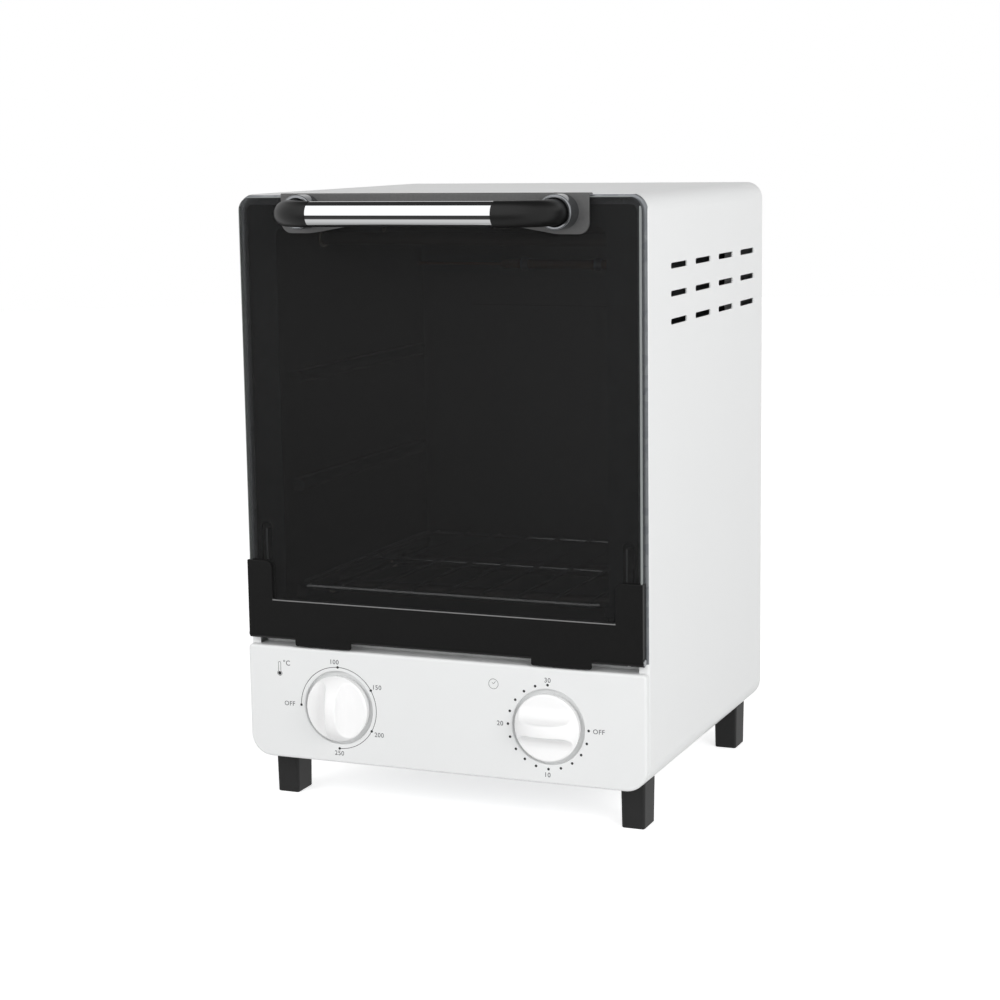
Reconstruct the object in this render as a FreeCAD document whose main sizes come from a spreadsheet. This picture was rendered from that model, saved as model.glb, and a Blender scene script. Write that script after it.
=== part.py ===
"""Bench-top high temperature sterilizer, as a parametric document. Lengths are in millimetres.

X runs from left to right as seen from the front, the door faces -Y and Z is up. The origin lies on
the surface that the feet stand on, in the middle of the whole outline.
"""
import FreeCAD, Part
import math
import os
import Sketcher

doc = FreeCAD.newDocument("Sterilizer")
sheet = doc.addObject("Spreadsheet::Sheet", "Sizes")
pieces = []

# Driving dimensions: name in the sheet, value, what it measures
DRIVING = [
    ("casing_width", 250.0, "outer width of the casing"),
    ("casing_depth", 225.0, "front edge to rear edge of the casing"),
    ("casing_height", 333.0, "casing without its feet"),
    ("casing_sheet", 0.8, "thickness of the casing's steel sheet"),
    ("casing_bend", 13.0, "outer radius of the casing's two lower bends"),
    ("crown_bend", 10.0, "outer radius of the casing's two upper bends"),
    ("hem_width", 6.0, "front hem, turned inwards"),
    ("hem_radius", 2.0, "outer radius of the front hem's edge"),
    ("rear_hem", 15.0, "rear hem, turned inwards"),
    ("floor_hem", 38.0, "strip of floor left along each side of the casing"),
    ("floor_hem_end", 16.0, "strip of floor left at the front and rear"),
    ("fit_gap", 0.15, "gap between sheet parts that fit into each other"),
    ("foot_height", 27.0, "standing height of a foot"),
    ("foot_width", 13.9, "foot across, at its sole"),
    ("foot_length", 18.4, "foot front to rear, at its sole"),
    ("foot_flare", 0.8, "how much wider a foot is at its top"),
    ("foot_side_inset", 14.7, "casing side to the middle of a foot"),
    ("foot_front_inset", 22.3, "casing front to the middle of a front foot"),
    ("foot_rear_inset", 20.5, "casing rear to the middle of a rear foot"),
    ("foot_corner", 1.6, "rounding of a foot's upright edges"),
    ("foot_edge", 0.8, "rounding of a foot's sole"),
    ("foot_well_radius", 4.2, "well for the screw head under a foot"),
    ("foot_well_depth", 19.0, "depth of that well"),
    ("vent_length", 29.0, "side vent slot, front to rear"),
    ("vent_slot", 3.3, "side vent slot, height"),
    ("vent_start", 54.8, "casing front to the middle of the first vent slot"),
    ("vent_end", 33.7, "middle of the last vent slot to the casing's rear"),
    ("slot_rounding", 0.4, "rounding of a slot's ends, as a share of its width"),
    ("vent_count", 4, "slots in a row"),
    ("vent_drop", 41.5, "casing top to the middle of the highest row"),
    ("vent_row_step", 15.6, "from row to row"),
    ("vent_rows", 3, "rows of vent slots"),
    ("panel_height", 67.9, "control panel, casing floor to its top edge"),
    ("panel_reach", 4.7, "panel face in front of the casing"),
    ("panel_sheet", 1.0, "thickness of the panel's sheet"),
    ("panel_edge", 1.6, "rounding of the panel's front edges"),
    ("panel_top_corner", 2.5, "rounding of the panel's top corners"),
    ("panel_ledge", 10.0, "ledge that runs back from the panel's top edge"),
    ("knob_inset", 59.0, "casing side to a knob's axis"),
    ("knob_level", 33.3, "casing floor to the knob axes"),
    ("dish_radius", 22.0, "dish around a knob"),
    ("dish_depth", 3.0, "depth of the dish"),
    ("dish_edge", 0.7, "rounding of the dish's mouth"),
    ("knob_radius", 19.6, "knob disc"),
    ("knob_float", 0.6, "gap between the dish floor and the knob"),
    ("knob_rim", 4.6, "height of the knob's rim"),
    ("knob_draft", 0.6, "how much narrower a knob is at its rear"),
    ("grip_height", 10.5, "grip's crest above the knob's rim"),
    ("crest_half", 3.3, "half width of the grip at its crest"),
    ("grip_foot_half", 4.6, "half width of the grip at its foot"),
    ("scoop_radius", 8.5, "hollow of a knob's scooped flank"),
    ("scoop_stand", 0.7, "flat of a flank above the rim"),
    ("scoop_runout", 2.0, "how far a scoop's cutter stands beyond the knob"),
    ("grip_edge", 1.2, "rounding of the grip's crest"),
    ("shaft_grip", 9.0, "length of shaft inside a knob"),
    ("shaft_radius", 3.0, "control shaft"),
    ("shaft_play", 0.05, "radial play of a shaft in its bush"),
    ("shaft_flat", 0.8, "depth of the flat on a shaft"),
    ("bush_radius", 4.75, "bush of a control"),
    ("control_screw_offset", 14.0, "bush axis to a control's fixing screw"),
    ("control_corner", 3.0, "rounding of a control's case"),
    ("shaft_reach", 14.4, "length of shaft inside a control"),
    ("thermostat_width", 36.0, "thermostat case, width"),
    ("thermostat_height", 30.0, "thermostat case, height"),
    ("thermostat_depth", 24.0, "thermostat case, front to rear"),
    ("timer_width", 52.0, "timer case, width"),
    ("timer_height", 44.0, "timer case, height"),
    ("timer_depth", 34.0, "timer case, front to rear"),
    ("bell_radius", 19.0, "timer bell"),
    ("bell_sheet", 0.9, "thickness of the bell"),
    ("bell_height", 11.0, "depth of the bell"),
    ("bell_bend", 5.0, "inner rounding of the bell"),
    ("bell_post", 3.0, "radius of the post that carries the bell"),
    ("bell_air", 2.0, "gap between the bell's mouth and the timer"),
    ("frame_sheet", 0.8, "thickness of the front frame"),
    ("frame_step_level", 82.0, "casing floor to the frame's step behind the hinge"),
    ("frame_step_depth", 8.0, "casing front to the step's rear wall"),
    ("cavity_inset", 24.0, "casing side to the cavity's wall"),
    ("cavity_rear_space", 20.4, "cavity's back to the casing's rear"),
    ("cavity_floor", 85.0, "casing floor to the cavity's floor"),
    ("cavity_head", 18.0, "casing top to the cavity's ceiling"),
    ("cavity_corner", 6.0, "inside radius of the cavity's long corners"),
    ("cavity_sheet", 0.6, "thickness of the cavity's sheet"),
    ("ledge_level", 101.5, "casing floor to the top of the lowest rack ledge"),
    ("ledge_step", 64.0, "from ledge to ledge"),
    ("ledge_count", 3, "ledges on each side"),
    ("ledge_radius", 3.5, "nose radius of a ledge"),
    ("ledge_nose", 0.85, "rounding of a ledge's nose, as a share of its radius"),
    ("ledge_reach", 7.2, "cavity wall to the ledge's nose"),
    ("ledge_inset", 12.0, "ledge's end to the cavity's front and rear"),
    ("rack_rod", 1.5, "radius of the rack's border rod"),
    ("rack_wire", 1.0, "radius of the rack's wires"),
    ("rack_side_gap", 1.3, "cavity wall to the rack"),
    ("rack_front", 4.5, "casing front to the rack"),
    ("rack_rear_gap", 8.0, "cavity back to the rack"),
    ("rack_corner", 12.0, "rack border's corner radius at the rod's middle"),
    ("rack_bay", 10.2, "rack's side rod to its first wire"),
    ("wire_seat", 0.6, "how high a wire sits on the border rod, as a share of its radius"),
    ("rack_wires", 9, "wires from front to rear"),
    ("heater_radius", 4.0, "heater tube"),
    ("heater_front", 60.0, "casing front to the front heaters"),
    ("heater_rear", 150.0, "casing front to the rear heaters"),
    ("heater_lift", 8.0, "cavity's floor to the lower heaters"),
    ("heater_drop", 10.0, "cavity's ceiling to the upper heaters"),
    ("bush_wall", 1.3, "wall of a heater bush"),
    ("bush_neck", 1.5, "heater bush's neck inside the cavity"),
    ("bush_flange", 4.0, "heater tube to the edge of a bush's flange"),
    ("bush_flange_depth", 2.5, "thickness of that flange"),
    ("heater_stub", 5.5, "heater end beyond the cavity wall"),
    ("heater_pin", 1.2, "radius of a heater's terminal"),
    ("heater_pin_length", 3.0, "a heater's terminal beyond its tube"),
    ("bulb_radius", 3.0, "thermostat's sensing bulb"),
    ("bulb_length", 84.0, "length of the bulb"),
    ("bulb_drop", 33.0, "cavity's ceiling to the bulb"),
    ("bulb_air", 2.5, "gap between the bulb and the cavity's back"),
    ("bulb_end", 1.8, "rounding of the bulb's ends"),
    ("clip_place", 0.3, "clip's distance from the bulb's middle, as a share of its length"),
    ("clip_sheet", 0.7, "thickness of a clip's ring"),
    ("clip_width", 5.0, "width of a clip"),
    ("clip_stem", 1.4, "thickness of a clip's stem"),
    ("capillary_radius", 0.9, "tube from the bulb to the thermostat"),
    ("capillary_bend", 9.0, "bend radius of that tube"),
    ("capillary_air", 9.0, "that tube to the cavity's outside"),
    ("capillary_level", 46.0, "casing floor to the tube's lowest run"),
    ("back_field", 3.0, "raised field of the cavity's back"),
    ("back_margin", 4.8, "cavity's back beyond the sleeve all round"),
    ("field_side", 24.0, "cavity's wall to the raised field"),
    ("field_low", 26.0, "cavity's floor to the raised field"),
    ("field_high", 60.0, "cavity's ceiling to the raised field"),
    ("field_corner", 14.0, "rounding of the raised field"),
    ("cover_sheet", 0.8, "thickness of the rear cover"),
    ("cover_margin", 0.8, "rear cover's edge inside the casing's outline"),
    ("gland_radius", 4.5, "hole of the cord gland"),
    ("gland_collar", 8.5, "collar of the cord gland"),
    ("gland_stand", 4.0, "collar's stand behind the rear cover"),
    ("gland_wall", 1.85, "wall of the gland inside the cover"),
    ("gland_taper", 1.5, "how much narrower the collar is at its end"),
    ("gland_edge", 1.0, "rounding of the collar's end"),
    ("gland_inside", 5.0, "gland inside the casing's rear hem"),
    ("gland_inset", 37.0, "casing side to the cord gland"),
    ("gland_level", 30.0, "casing floor to the cord gland"),
    ("cover_slot", 37.1, "length of a rear vent slot"),
    ("cover_slot_step", 44.52, "from slot to slot along a rear row"),
    ("cover_slot_start", 66.78, "middle plane to the first rear slot"),
    ("cover_slot_low", 23.4, "casing floor to the lowest rear row"),
    ("cover_columns_high", 4, "slots in an upper rear row"),
    ("cover_columns_low", 3, "slots in a lower rear row"),
    ("cover_rows", 3, "rear rows in each field"),
    ("cover_screw_share", 0.09, "outer rear screws from the casing's floor and top, as a share of its height"),
    ("cover_screw_inset", 8.25, "casing's edge to a rear screw"),
    ("terminal_side", 45.0, "cord gland to the middle of the terminal block"),
    ("terminal_width", 40.0, "terminal block, width"),
    ("terminal_depth", 16.0, "terminal block, front to rear"),
    ("terminal_height", 14.0, "height of the terminal block"),
    ("terminal_rear", 22.0, "casing's rear to the terminal block"),
    ("terminal_pitch", 12.0, "from terminal to terminal"),
    ("terminal_row", 4.0, "terminal block's long side to a row of terminals"),
    ("terminal_well", 2.2, "radius of a terminal's well"),
    ("terminal_well_depth", 8.0, "depth of a terminal's well"),
    ("base_sheet", 0.8, "thickness of the base plate"),
    ("base_side_gap", 1.0, "casing's bend to the base plate"),
    ("base_screw_inset", 8.0, "edge of the floor's opening to a base screw"),
    ("base_screw_share", 0.28, "middle of the casing to a base screw, as a share of its depth"),
    ("base_slot_width", 3.85, "vent slot of the base plate"),
    ("base_slot_start", 67.5, "casing front to the first of those slots"),
    ("base_slot_step", 42.4, "from slot to slot across the base"),
    ("base_slot_columns", 3, "slots across the base"),
    ("base_slot_rows", 6, "rows of slots in the base"),
    ("screw_radius", 1.5, "shank of a sheet screw"),
    ("screw_head", 3.0, "head radius of a sheet screw"),
    ("screw_rise", 1.8, "height of a sheet screw's head"),
    ("screw_length", 7.0, "shank length of a sheet screw"),
    ("screw_tip", 0.7, "end of a shank, as a share of its radius"),
    ("screw_point", 0.6, "length of that taper, as a share of the shank's radius"),
    ("head_edge", 0.35, "upright edge of a screw's head, as a share of its height"),
    ("head_shoulder", 0.62, "where a head's crown is measured, as a share of its radius"),
    ("head_crown", 0.88, "crown's height there, as a share of the head's height"),
    ("recess_bar", 1.1, "length of the cross recess, as a share of the head's radius"),
    ("recess_width", 0.24, "width of the cross recess, as a share of the head's radius"),
    ("recess_floor", 0.45, "floor of the cross recess, as a share of the head's height"),
    ("foot_screw_radius", 2.0, "shank of a foot screw"),
    ("foot_screw_bite", 4.0, "foot screw's end above the casing's floor"),
    ("foot_screw_gap", 0.8, "foot screw's head to the wall of its well"),
    ("foot_screw_rise", 2.2, "height of a foot screw's head"),
    ("low_head", 0.6, "height of a control screw's head, as a share of the gap under its knob"),
    ("glass_side", 2.9, "casing side to the glass's edge"),
    ("glass_drop", 1.6, "casing top to the glass's top edge"),
    ("glass_foot", 80.0, "casing floor to the glass's lower edge"),
    ("glass_thickness", 3.0, "door glass"),
    ("glass_gap", 1.6, "casing front to the glass's inner face"),
    ("glass_corner", 7.6, "glass's top corners"),
    ("glass_fit", 0.3, "gap between the glass and the sheet that holds it"),
    ("bracket_sheet", 0.8, "thickness of the door's bottom bracket"),
    ("hinge_level", 74.6, "casing floor to the hinge axis"),
    ("bar_level", 96.0, "casing floor to the top of the bracket's bar"),
    ("ear_level", 119.0, "casing floor to the top of the bracket's ears"),
    ("ear_width", 16.0, "width of an ear"),
    ("ear_corner", 4.5, "rounding of an ear's inner top corner"),
    ("ear_nook", 1.5, "rounding between an ear and the bar"),
    ("bracket_edge", 0.35, "rounding of the bracket's upper front edge"),
    ("tab_inset", 30.4, "bracket's end to a tab"),
    ("tab_width", 36.3, "width of a tab"),
    ("tab_drop", 3.1, "tab below the bracket"),
    ("tab_corner", 1.2, "rounding of a tab's corners"),
    ("pin_radius", 1.0, "hinge pin"),
    ("pin_play", 0.05, "radial play of the hinge pin in its eye"),
    ("pin_head", 1.9, "radius of a pin's head"),
    ("pin_head_height", 0.6, "height of a pin's head"),
    ("eye_inset", 8.7, "bracket's end to the hinge eye"),
    ("eye_sheet", 1.5, "thickness of the hinge eye"),
    ("eye_half", 1.5, "half height of the hinge eye"),
    ("eye_foot", 10.0, "length of the foot that carries the eye"),
    ("eye_foot_half", 4.5, "half height of that foot"),
    ("swing_gap", 0.5, "gap of moving parts to the frame around them"),
    ("lug_inset", 12.2, "bracket's end to the inner pin lug"),
    ("stay_inset", 10.9, "bracket's end to a stay arm"),
    ("stay_sheet", 1.2, "thickness of a stay arm"),
    ("stay_inner", 52.0, "stay arm's inner radius about the hinge"),
    ("stay_outer", 63.0, "stay arm's outer radius about the hinge"),
    ("stay_stop", 70.0, "stop at the stay arm's end, radius about the hinge"),
    ("stay_sweep", 102.0, "angle from the door to the stay arm's end"),
    ("stay_stop_angle", 95.0, "angle from the door to the stop"),
    ("stay_foot_low", 5.0, "bracket's bar to the stay arm's foot"),
    ("stay_foot_reach", 6.0, "depth of the stay arm's foot at its lower end"),
    ("stay_foot_root", 9.0, "depth of that foot where the arm starts"),
    ("stay_flange", 3.6, "width of the flange on the bracket"),
    ("stay_flange_drop", 2.0, "ear's top to the flange's top"),
    ("stop_overlap", 3.0, "how deep the stop's root lies in the arm"),
    ("slot_width", 6.7, "slot in the frame for a stay arm"),
    ("slot_shift", 0.6, "stay arm's middle to the middle of its slot"),
    ("slot_low", 97.5, "casing floor to the slot's lower end"),
    ("slot_high", 141.0, "casing floor to the slot's upper end"),
    ("plate_inset", 28.35, "glass's edge to the handle plate's end"),
    ("plate_sheet", 1.0, "thickness of the handle plate"),
    ("plate_rise", 2.0, "handle plate above the glass's top edge"),
    ("plate_lobe_drop", 22.0, "casing top to the plate's lower edge at its ends"),
    ("plate_waist_drop", 17.0, "casing top to the plate's lower edge in the middle"),
    ("plate_lobe_inset", 18.75, "plate's end to where the lower edge starts to rise"),
    ("plate_waist_inset", 48.75, "plate's end to where it stops rising"),
    ("plate_sweep", 30.0, "rounding of the lower edge's rise"),
    ("plate_corner", 6.5, "plate's lower corners"),
    ("plate_fold", 0.8, "outer rounding of the plate's folds"),
    ("plate_tongue", 20.0, "width of the tongues behind the glass"),
    ("tongue_corner", 3.0, "rounding of a tongue's end"),
    ("leg_inset", 15.75, "plate's end to a handle leg"),
    ("handle_drop", 9.7, "casing top to the handle's axis"),
    ("handle_stand", 40.0, "handle plate to the middle of the bar"),
    ("handle_bend", 22.5, "bend radius of an elbow"),
    ("elbow_radius", 7.2, "elbow's section"),
    ("tube_radius", 7.0, "handle tube"),
    ("tube_wall", 0.8, "wall of the handle tube"),
    ("spigot_length", 12.0, "elbow's spigot inside the tube"),
    ("collar_radius", 9.75, "collar at a leg's foot"),
    ("collar_length", 12.0, "length of a collar"),
    ("collar_edge", 0.8, "rounding of a collar's rim"),
    ("elbow_lap", 0.5, "elbow beyond the end of its bend"),
    ("handle_screw", 2.0, "shank radius of a handle screw"),
    ("handle_screw_head", 2.9, "head radius of a handle screw"),
    ("handle_screw_rise", 1.7, "height of that head"),
    ("handle_screw_length", 20.0, "shank length of a handle screw"),
    ("glass_hole", 3.3, "hole in the glass for that head"),
]


class Size:
    """A number together with the formula, in the sheet's own words, that gives it."""

    def __init__(self, formula, value):
        self.formula = formula
        self.value = value

    def __add__(self, other):
        return Size(f"({self.formula} + {size(other).formula})", self.value + size(other).value)

    def __radd__(self, other):
        return size(other) + self

    def __sub__(self, other):
        return Size(f"({self.formula} - {size(other).formula})", self.value - size(other).value)

    def __rsub__(self, other):
        return size(other) - self

    def __mul__(self, other):
        return Size(f"({self.formula} * {size(other).formula})", self.value * size(other).value)

    def __rmul__(self, other):
        return size(other) * self

    def __truediv__(self, other):
        return Size(f"({self.formula} / {size(other).formula})", self.value / size(other).value)

    def __neg__(self):
        return size(-1) * self


def size(number):
    """Gives a plain number the same form as a size of the sheet."""
    if isinstance(number, Size):
        return number
    return Size(f"({float(number)})", float(number))


def sine(angle):
    return Size(f"sin({size(angle).formula})", math.sin(math.radians(size(angle).value)))


def cosine(angle):
    return Size(f"cos({size(angle).formula})", math.cos(math.radians(size(angle).value)))


class Sizes:
    """Every size of the sheet, by its alias."""

    def __init__(self):
        self.row = 0
        for alias, value, meaning in DRIVING:
            self.write(alias, str(value), meaning)
            setattr(self, alias, Size(f"Sizes.{alias}", float(value)))

    def write(self, alias, text, meaning):
        self.row += 1
        sheet.set(f"A{self.row}", meaning)
        sheet.set(f"B{self.row}", text)
        sheet.setAlias(f"B{self.row}", alias)

    def derive(self, alias, formula, meaning):
        """Adds a size that follows from others, as a formula in the sheet."""
        self.write(alias, "=" + formula.formula.replace("Sizes.", ""), meaning)
        setattr(self, alias, Size(f"Sizes.{alias}", formula.value))


S = Sizes()
S.derive("cavity_width", S.casing_width - S.cavity_inset * 2, "oven cavity, inside width")
S.derive("cavity_depth", S.casing_depth - S.casing_sheet - S.frame_sheet - S.cavity_rear_space,
         "oven cavity, inside depth")
S.derive("cavity_ceiling", S.casing_height - S.cavity_head, "casing floor to the cavity's ceiling")
S.derive("heater_low", S.cavity_floor + S.heater_lift, "casing floor to the lower heaters")
S.derive("heater_high", S.cavity_ceiling - S.heater_drop, "casing floor to the upper heaters")
S.derive("bulb_level", S.cavity_ceiling - S.bulb_drop, "casing floor to the bulb")
S.derive("vent_step", (S.casing_depth - S.vent_start - S.vent_end) / (S.vent_count - 1),
         "from slot to slot along a row")
S.derive("plate_face", S.glass_gap + S.glass_thickness + S.glass_fit + S.plate_sheet,
         "casing front to the handle plate's face")
S.derive("front", (S.plate_face + S.handle_stand + S.elbow_radius - S.casing_depth
                   - S.cover_sheet - S.gland_stand) / 2, "casing's front edge")
S.derive("rear", S.front + S.casing_depth, "casing's rear edge")
S.derive("floor", S.foot_height * 1.0, "casing's floor")
S.derive("top", S.floor + S.casing_height, "casing's top")
S.derive("half", S.casing_width / 2, "middle plane to the casing's side")
S.derive("knob_side", S.half - S.knob_inset, "middle plane to a knob's axis")
S.derive("glass_half", S.half - S.glass_side, "middle plane to the glass's edge")
S.derive("plate_half", S.glass_half - S.plate_inset, "middle plane to the handle plate's end")
S.derive("gland_x", S.half - S.gland_inset, "middle plane to the cord gland")
S.derive("panel_face", S.front - S.panel_reach, "control panel's face")
S.derive("panel_top", S.floor + S.panel_height, "control panel's top edge")
S.derive("knob_z", S.floor + S.knob_level, "knob axes")
S.derive("dish_floor", S.panel_face + S.dish_depth, "floor of the dishes")
S.derive("behind_dish", S.dish_floor + S.panel_sheet, "rear of the dishes")
S.derive("frame_front", S.front + S.casing_sheet, "front frame's face")
S.derive("frame_rear", S.frame_front + S.frame_sheet, "front frame's inner face")
S.derive("cavity_half", S.cavity_width / 2, "middle plane to the cavity's wall")
S.derive("cavity_low", S.floor + S.cavity_floor, "cavity's floor")
S.derive("cavity_high", S.floor + S.cavity_ceiling, "cavity's ceiling")
S.derive("cavity_end", S.frame_rear + S.cavity_depth, "cavity's back")
S.derive("hinge_y", S.front - S.glass_gap - S.glass_thickness / 2, "hinge axis, front to rear")
S.derive("hinge_z", S.floor + S.hinge_level, "hinge axis, height")
S.derive("channel", S.glass_thickness / 2 + S.glass_fit, "hinge axis to the bracket's inside")
S.derive("channel_outer", S.channel + S.bracket_sheet, "hinge axis to the bracket's outside")
S.derive("bracket_half", S.glass_half + S.glass_fit + S.bracket_sheet, "middle plane to the bracket's end")
S.derive("eye_side", S.bracket_half - S.eye_inset, "middle plane to the hinge eye")
S.derive("lug_side", S.bracket_half - S.lug_inset, "middle plane to the inner pin lug")
S.derive("stay_side", S.bracket_half - S.stay_inset, "middle plane to a stay arm")
S.derive("slot_side", S.stay_side + S.slot_shift, "middle plane to a stay arm's slot")
S.derive("glass_top", S.top - S.glass_drop, "glass's top edge")
S.derive("glass_face", S.front - S.glass_gap - S.glass_thickness, "glass's outer face")
S.derive("glass_back", S.front - S.glass_gap, "glass's inner face")
S.derive("plate_front", S.front - S.plate_face, "handle plate's face")
S.derive("handle_z", S.top - S.handle_drop, "handle's axis, height")
S.derive("handle_y", S.plate_front - S.handle_stand, "bar's axis, front to rear")
S.derive("leg_x", S.plate_half - S.leg_inset, "middle plane to a leg")
S.derive("bar_half", S.leg_x - S.handle_bend, "middle plane to the end of the tube")
S.derive("rack_half", S.cavity_half - S.rack_side_gap - S.rack_rod, "middle plane to the rack's side rod")
S.derive("rack_pitch", (S.rack_half - S.rack_bay) * 2 / (S.rack_wires - 1), "from wire to wire of the rack")
S.derive("rack_z", S.floor + S.ledge_level + S.rack_rod, "middle of the rack's border rod")
S.derive("rack_y0", S.front + S.rack_front + S.rack_rod, "rack's front rod")
S.derive("rack_y1", S.cavity_end - S.rack_rear_gap - S.rack_rod, "rack's rear rod")


def piece(name):
    """A body for one sub-part."""
    body = doc.addObject("PartDesign::Body", name)
    body.Label = name
    pieces.append(body)
    return body


def solid(name, shape):
    """A sub-part whose shape is worked out from the sheet by Part's own functions."""
    feature = doc.addObject("Part::Feature", name)
    feature.Label = name
    feature.Shape = shape
    pieces.append(feature)
    return feature


def sketch_on(body, role, level=0):
    """A sketch on one of the body's origin planes, moved along that plane's normal."""
    plane = [feature for feature in body.Origin.OriginFeatures if feature.Role == role][0]
    sketch = body.newObject("Sketcher::SketchObject", "Sketch")
    sketch.AttachmentSupport = [(plane, "")]
    sketch.MapMode = "FlatFace"
    sketch.AttachmentOffset = FreeCAD.Placement(FreeCAD.Vector(0, 0, size(level).value), FreeCAD.Rotation())
    sketch.setExpression("AttachmentOffset.Base.z", size(level).formula)
    return sketch


def facing_front(body, depth):
    """An upright sketch across the object. It extrudes towards the front and cuts towards the rear."""
    return sketch_on(body, "XZ_Plane", -size(depth))


def facing_side(body, across=0):
    """An upright sketch from front to rear. It extrudes to the right."""
    return sketch_on(body, "YZ_Plane", across)


def level_with(body, height):
    """A level sketch. It extrudes upwards and cuts downwards."""
    return sketch_on(body, "XY_Plane", height)


def bind(sketch, index, formula):
    sketch.setExpression(f"Constraints[{index}]", size(formula).formula)


def pin_down(sketch, geometry, point, across, up):
    """Holds a point of the sketch at two sizes from the sketch's origin."""
    for kind, place in (("DistanceX", across), ("DistanceY", up)):
        rule = Sketcher.Constraint(kind, -1, 1, geometry, point, size(place).value)
        bind(sketch, sketch.addConstraint(rule), place)


def draw_circle(sketch, across, up, radius):
    middle = FreeCAD.Vector(size(across).value, size(up).value, 0)
    circle = Part.Circle(middle, FreeCAD.Vector(0, 0, 1), size(radius).value)
    geometry = sketch.addGeometry(circle, False)
    pin_down(sketch, geometry, 3, across, up)
    rule = Sketcher.Constraint("Radius", geometry, size(radius).value)
    bind(sketch, sketch.addConstraint(rule), radius)


def draw_axis(sketch, start, end):
    """A construction line to turn a profile about."""
    ends = [FreeCAD.Vector(size(place[0]).value, size(place[1]).value, 0) for place in (start, end)]
    geometry = sketch.addGeometry(Part.LineSegment(ends[0], ends[1]), True)
    pin_down(sketch, geometry, 1, start[0], start[1])
    pin_down(sketch, geometry, 2, end[0], end[1])


def corner_round(before, corner, after, radius):
    """Start, centre and end of the arc that rounds a corner between two neighbours."""
    back = (before - corner).normalize()
    ahead = (after - corner).normalize()
    half_angle = back.getAngle(ahead) / 2
    run = radius / math.tan(half_angle)
    centre = corner + (back + ahead).normalize() * (radius / math.sin(half_angle))
    return corner + back * run, centre, corner + ahead * run


def add_arc(sketch, start, centre, stop):
    """Adds an arc of under half a turn. Gives its number and the number of its starting end."""
    from_centre = start - centre
    to_centre = stop - centre
    begin = math.atan2(from_centre.y, from_centre.x)
    end = math.atan2(to_centre.y, to_centre.x)
    leftwards = from_centre.x * to_centre.y - from_centre.y * to_centre.x > 0
    if not leftwards:
        begin, end = end, begin
    if end < begin:
        end += 2 * math.pi
    circle = Part.Circle(centre, FreeCAD.Vector(0, 0, 1), from_centre.Length)
    return sketch.addGeometry(Part.ArcOfCircle(circle, begin, end), False), 1 if leftwards else 2


def join_by_arc(sketch, line_in, line_out, mark, rounding, radius):
    """Joins two lines by a tangent arc, whose corner stays at the mark."""
    start, centre, stop = rounding
    arc, first = add_arc(sketch, start, centre, stop)
    sketch.addConstraint(Sketcher.Constraint("Tangent", line_in, 2, arc, first))
    sketch.addConstraint(Sketcher.Constraint("Tangent", arc, 3 - first, line_out, 1))
    sketch.addConstraint(Sketcher.Constraint("PointOnObject", mark, 1, line_in))
    sketch.addConstraint(Sketcher.Constraint("PointOnObject", mark, 1, line_out))
    rule = Sketcher.Constraint("Radius", arc, size(radius).value)
    bind(sketch, sketch.addConstraint(rule), radius)


def draw_outline(sketch, corners):
    """A closed outline from corner to corner. A corner is (across, up) or (across, up, radius)."""
    points = [FreeCAD.Vector(size(corner[0]).value, size(corner[1]).value, 0) for corner in corners]
    radii = [corner[2] if len(corner) > 2 and corner[2] is not None else None for corner in corners]
    count = len(points)
    marks = []
    rounds = []
    for index, point in enumerate(points):
        mark = sketch.addGeometry(Part.Point(point), True)
        pin_down(sketch, mark, 1, corners[index][0], corners[index][1])
        marks.append(mark)
        radius = 0 if radii[index] is None else size(radii[index]).value
        rounds.append(corner_round(points[index - 1], point, points[(index + 1) % count], radius))
    lines = []
    for index in range(count):
        run = Part.LineSegment(rounds[index][2], rounds[(index + 1) % count][0])
        lines.append(sketch.addGeometry(run, False))
    for index in range(count):
        if radii[index] is None:
            sketch.addConstraint(Sketcher.Constraint("Coincident", lines[index - 1], 2, marks[index], 1))
            sketch.addConstraint(Sketcher.Constraint("Coincident", lines[index], 1, marks[index], 1))
        else:
            join_by_arc(sketch, lines[index - 1], lines[index], marks[index], rounds[index], radii[index])


def draw_bend(sketch, corners):
    """Two straight runs and the arc between them: the middle corner is (across, up, radius)."""
    points = [FreeCAD.Vector(size(corner[0]).value, size(corner[1]).value, 0) for corner in corners]
    radius = corners[1][2]
    rounding = corner_round(points[0], points[1], points[2], size(radius).value)
    mark = sketch.addGeometry(Part.Point(points[1]), True)
    first = sketch.addGeometry(Part.LineSegment(points[0], rounding[0]), False)
    last = sketch.addGeometry(Part.LineSegment(rounding[2], points[2]), False)
    pin_down(sketch, first, 1, corners[0][0], corners[0][1])
    pin_down(sketch, mark, 1, corners[1][0], corners[1][1])
    pin_down(sketch, last, 2, corners[2][0], corners[2][1])
    join_by_arc(sketch, first, last, mark, rounding, radius)


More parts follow.
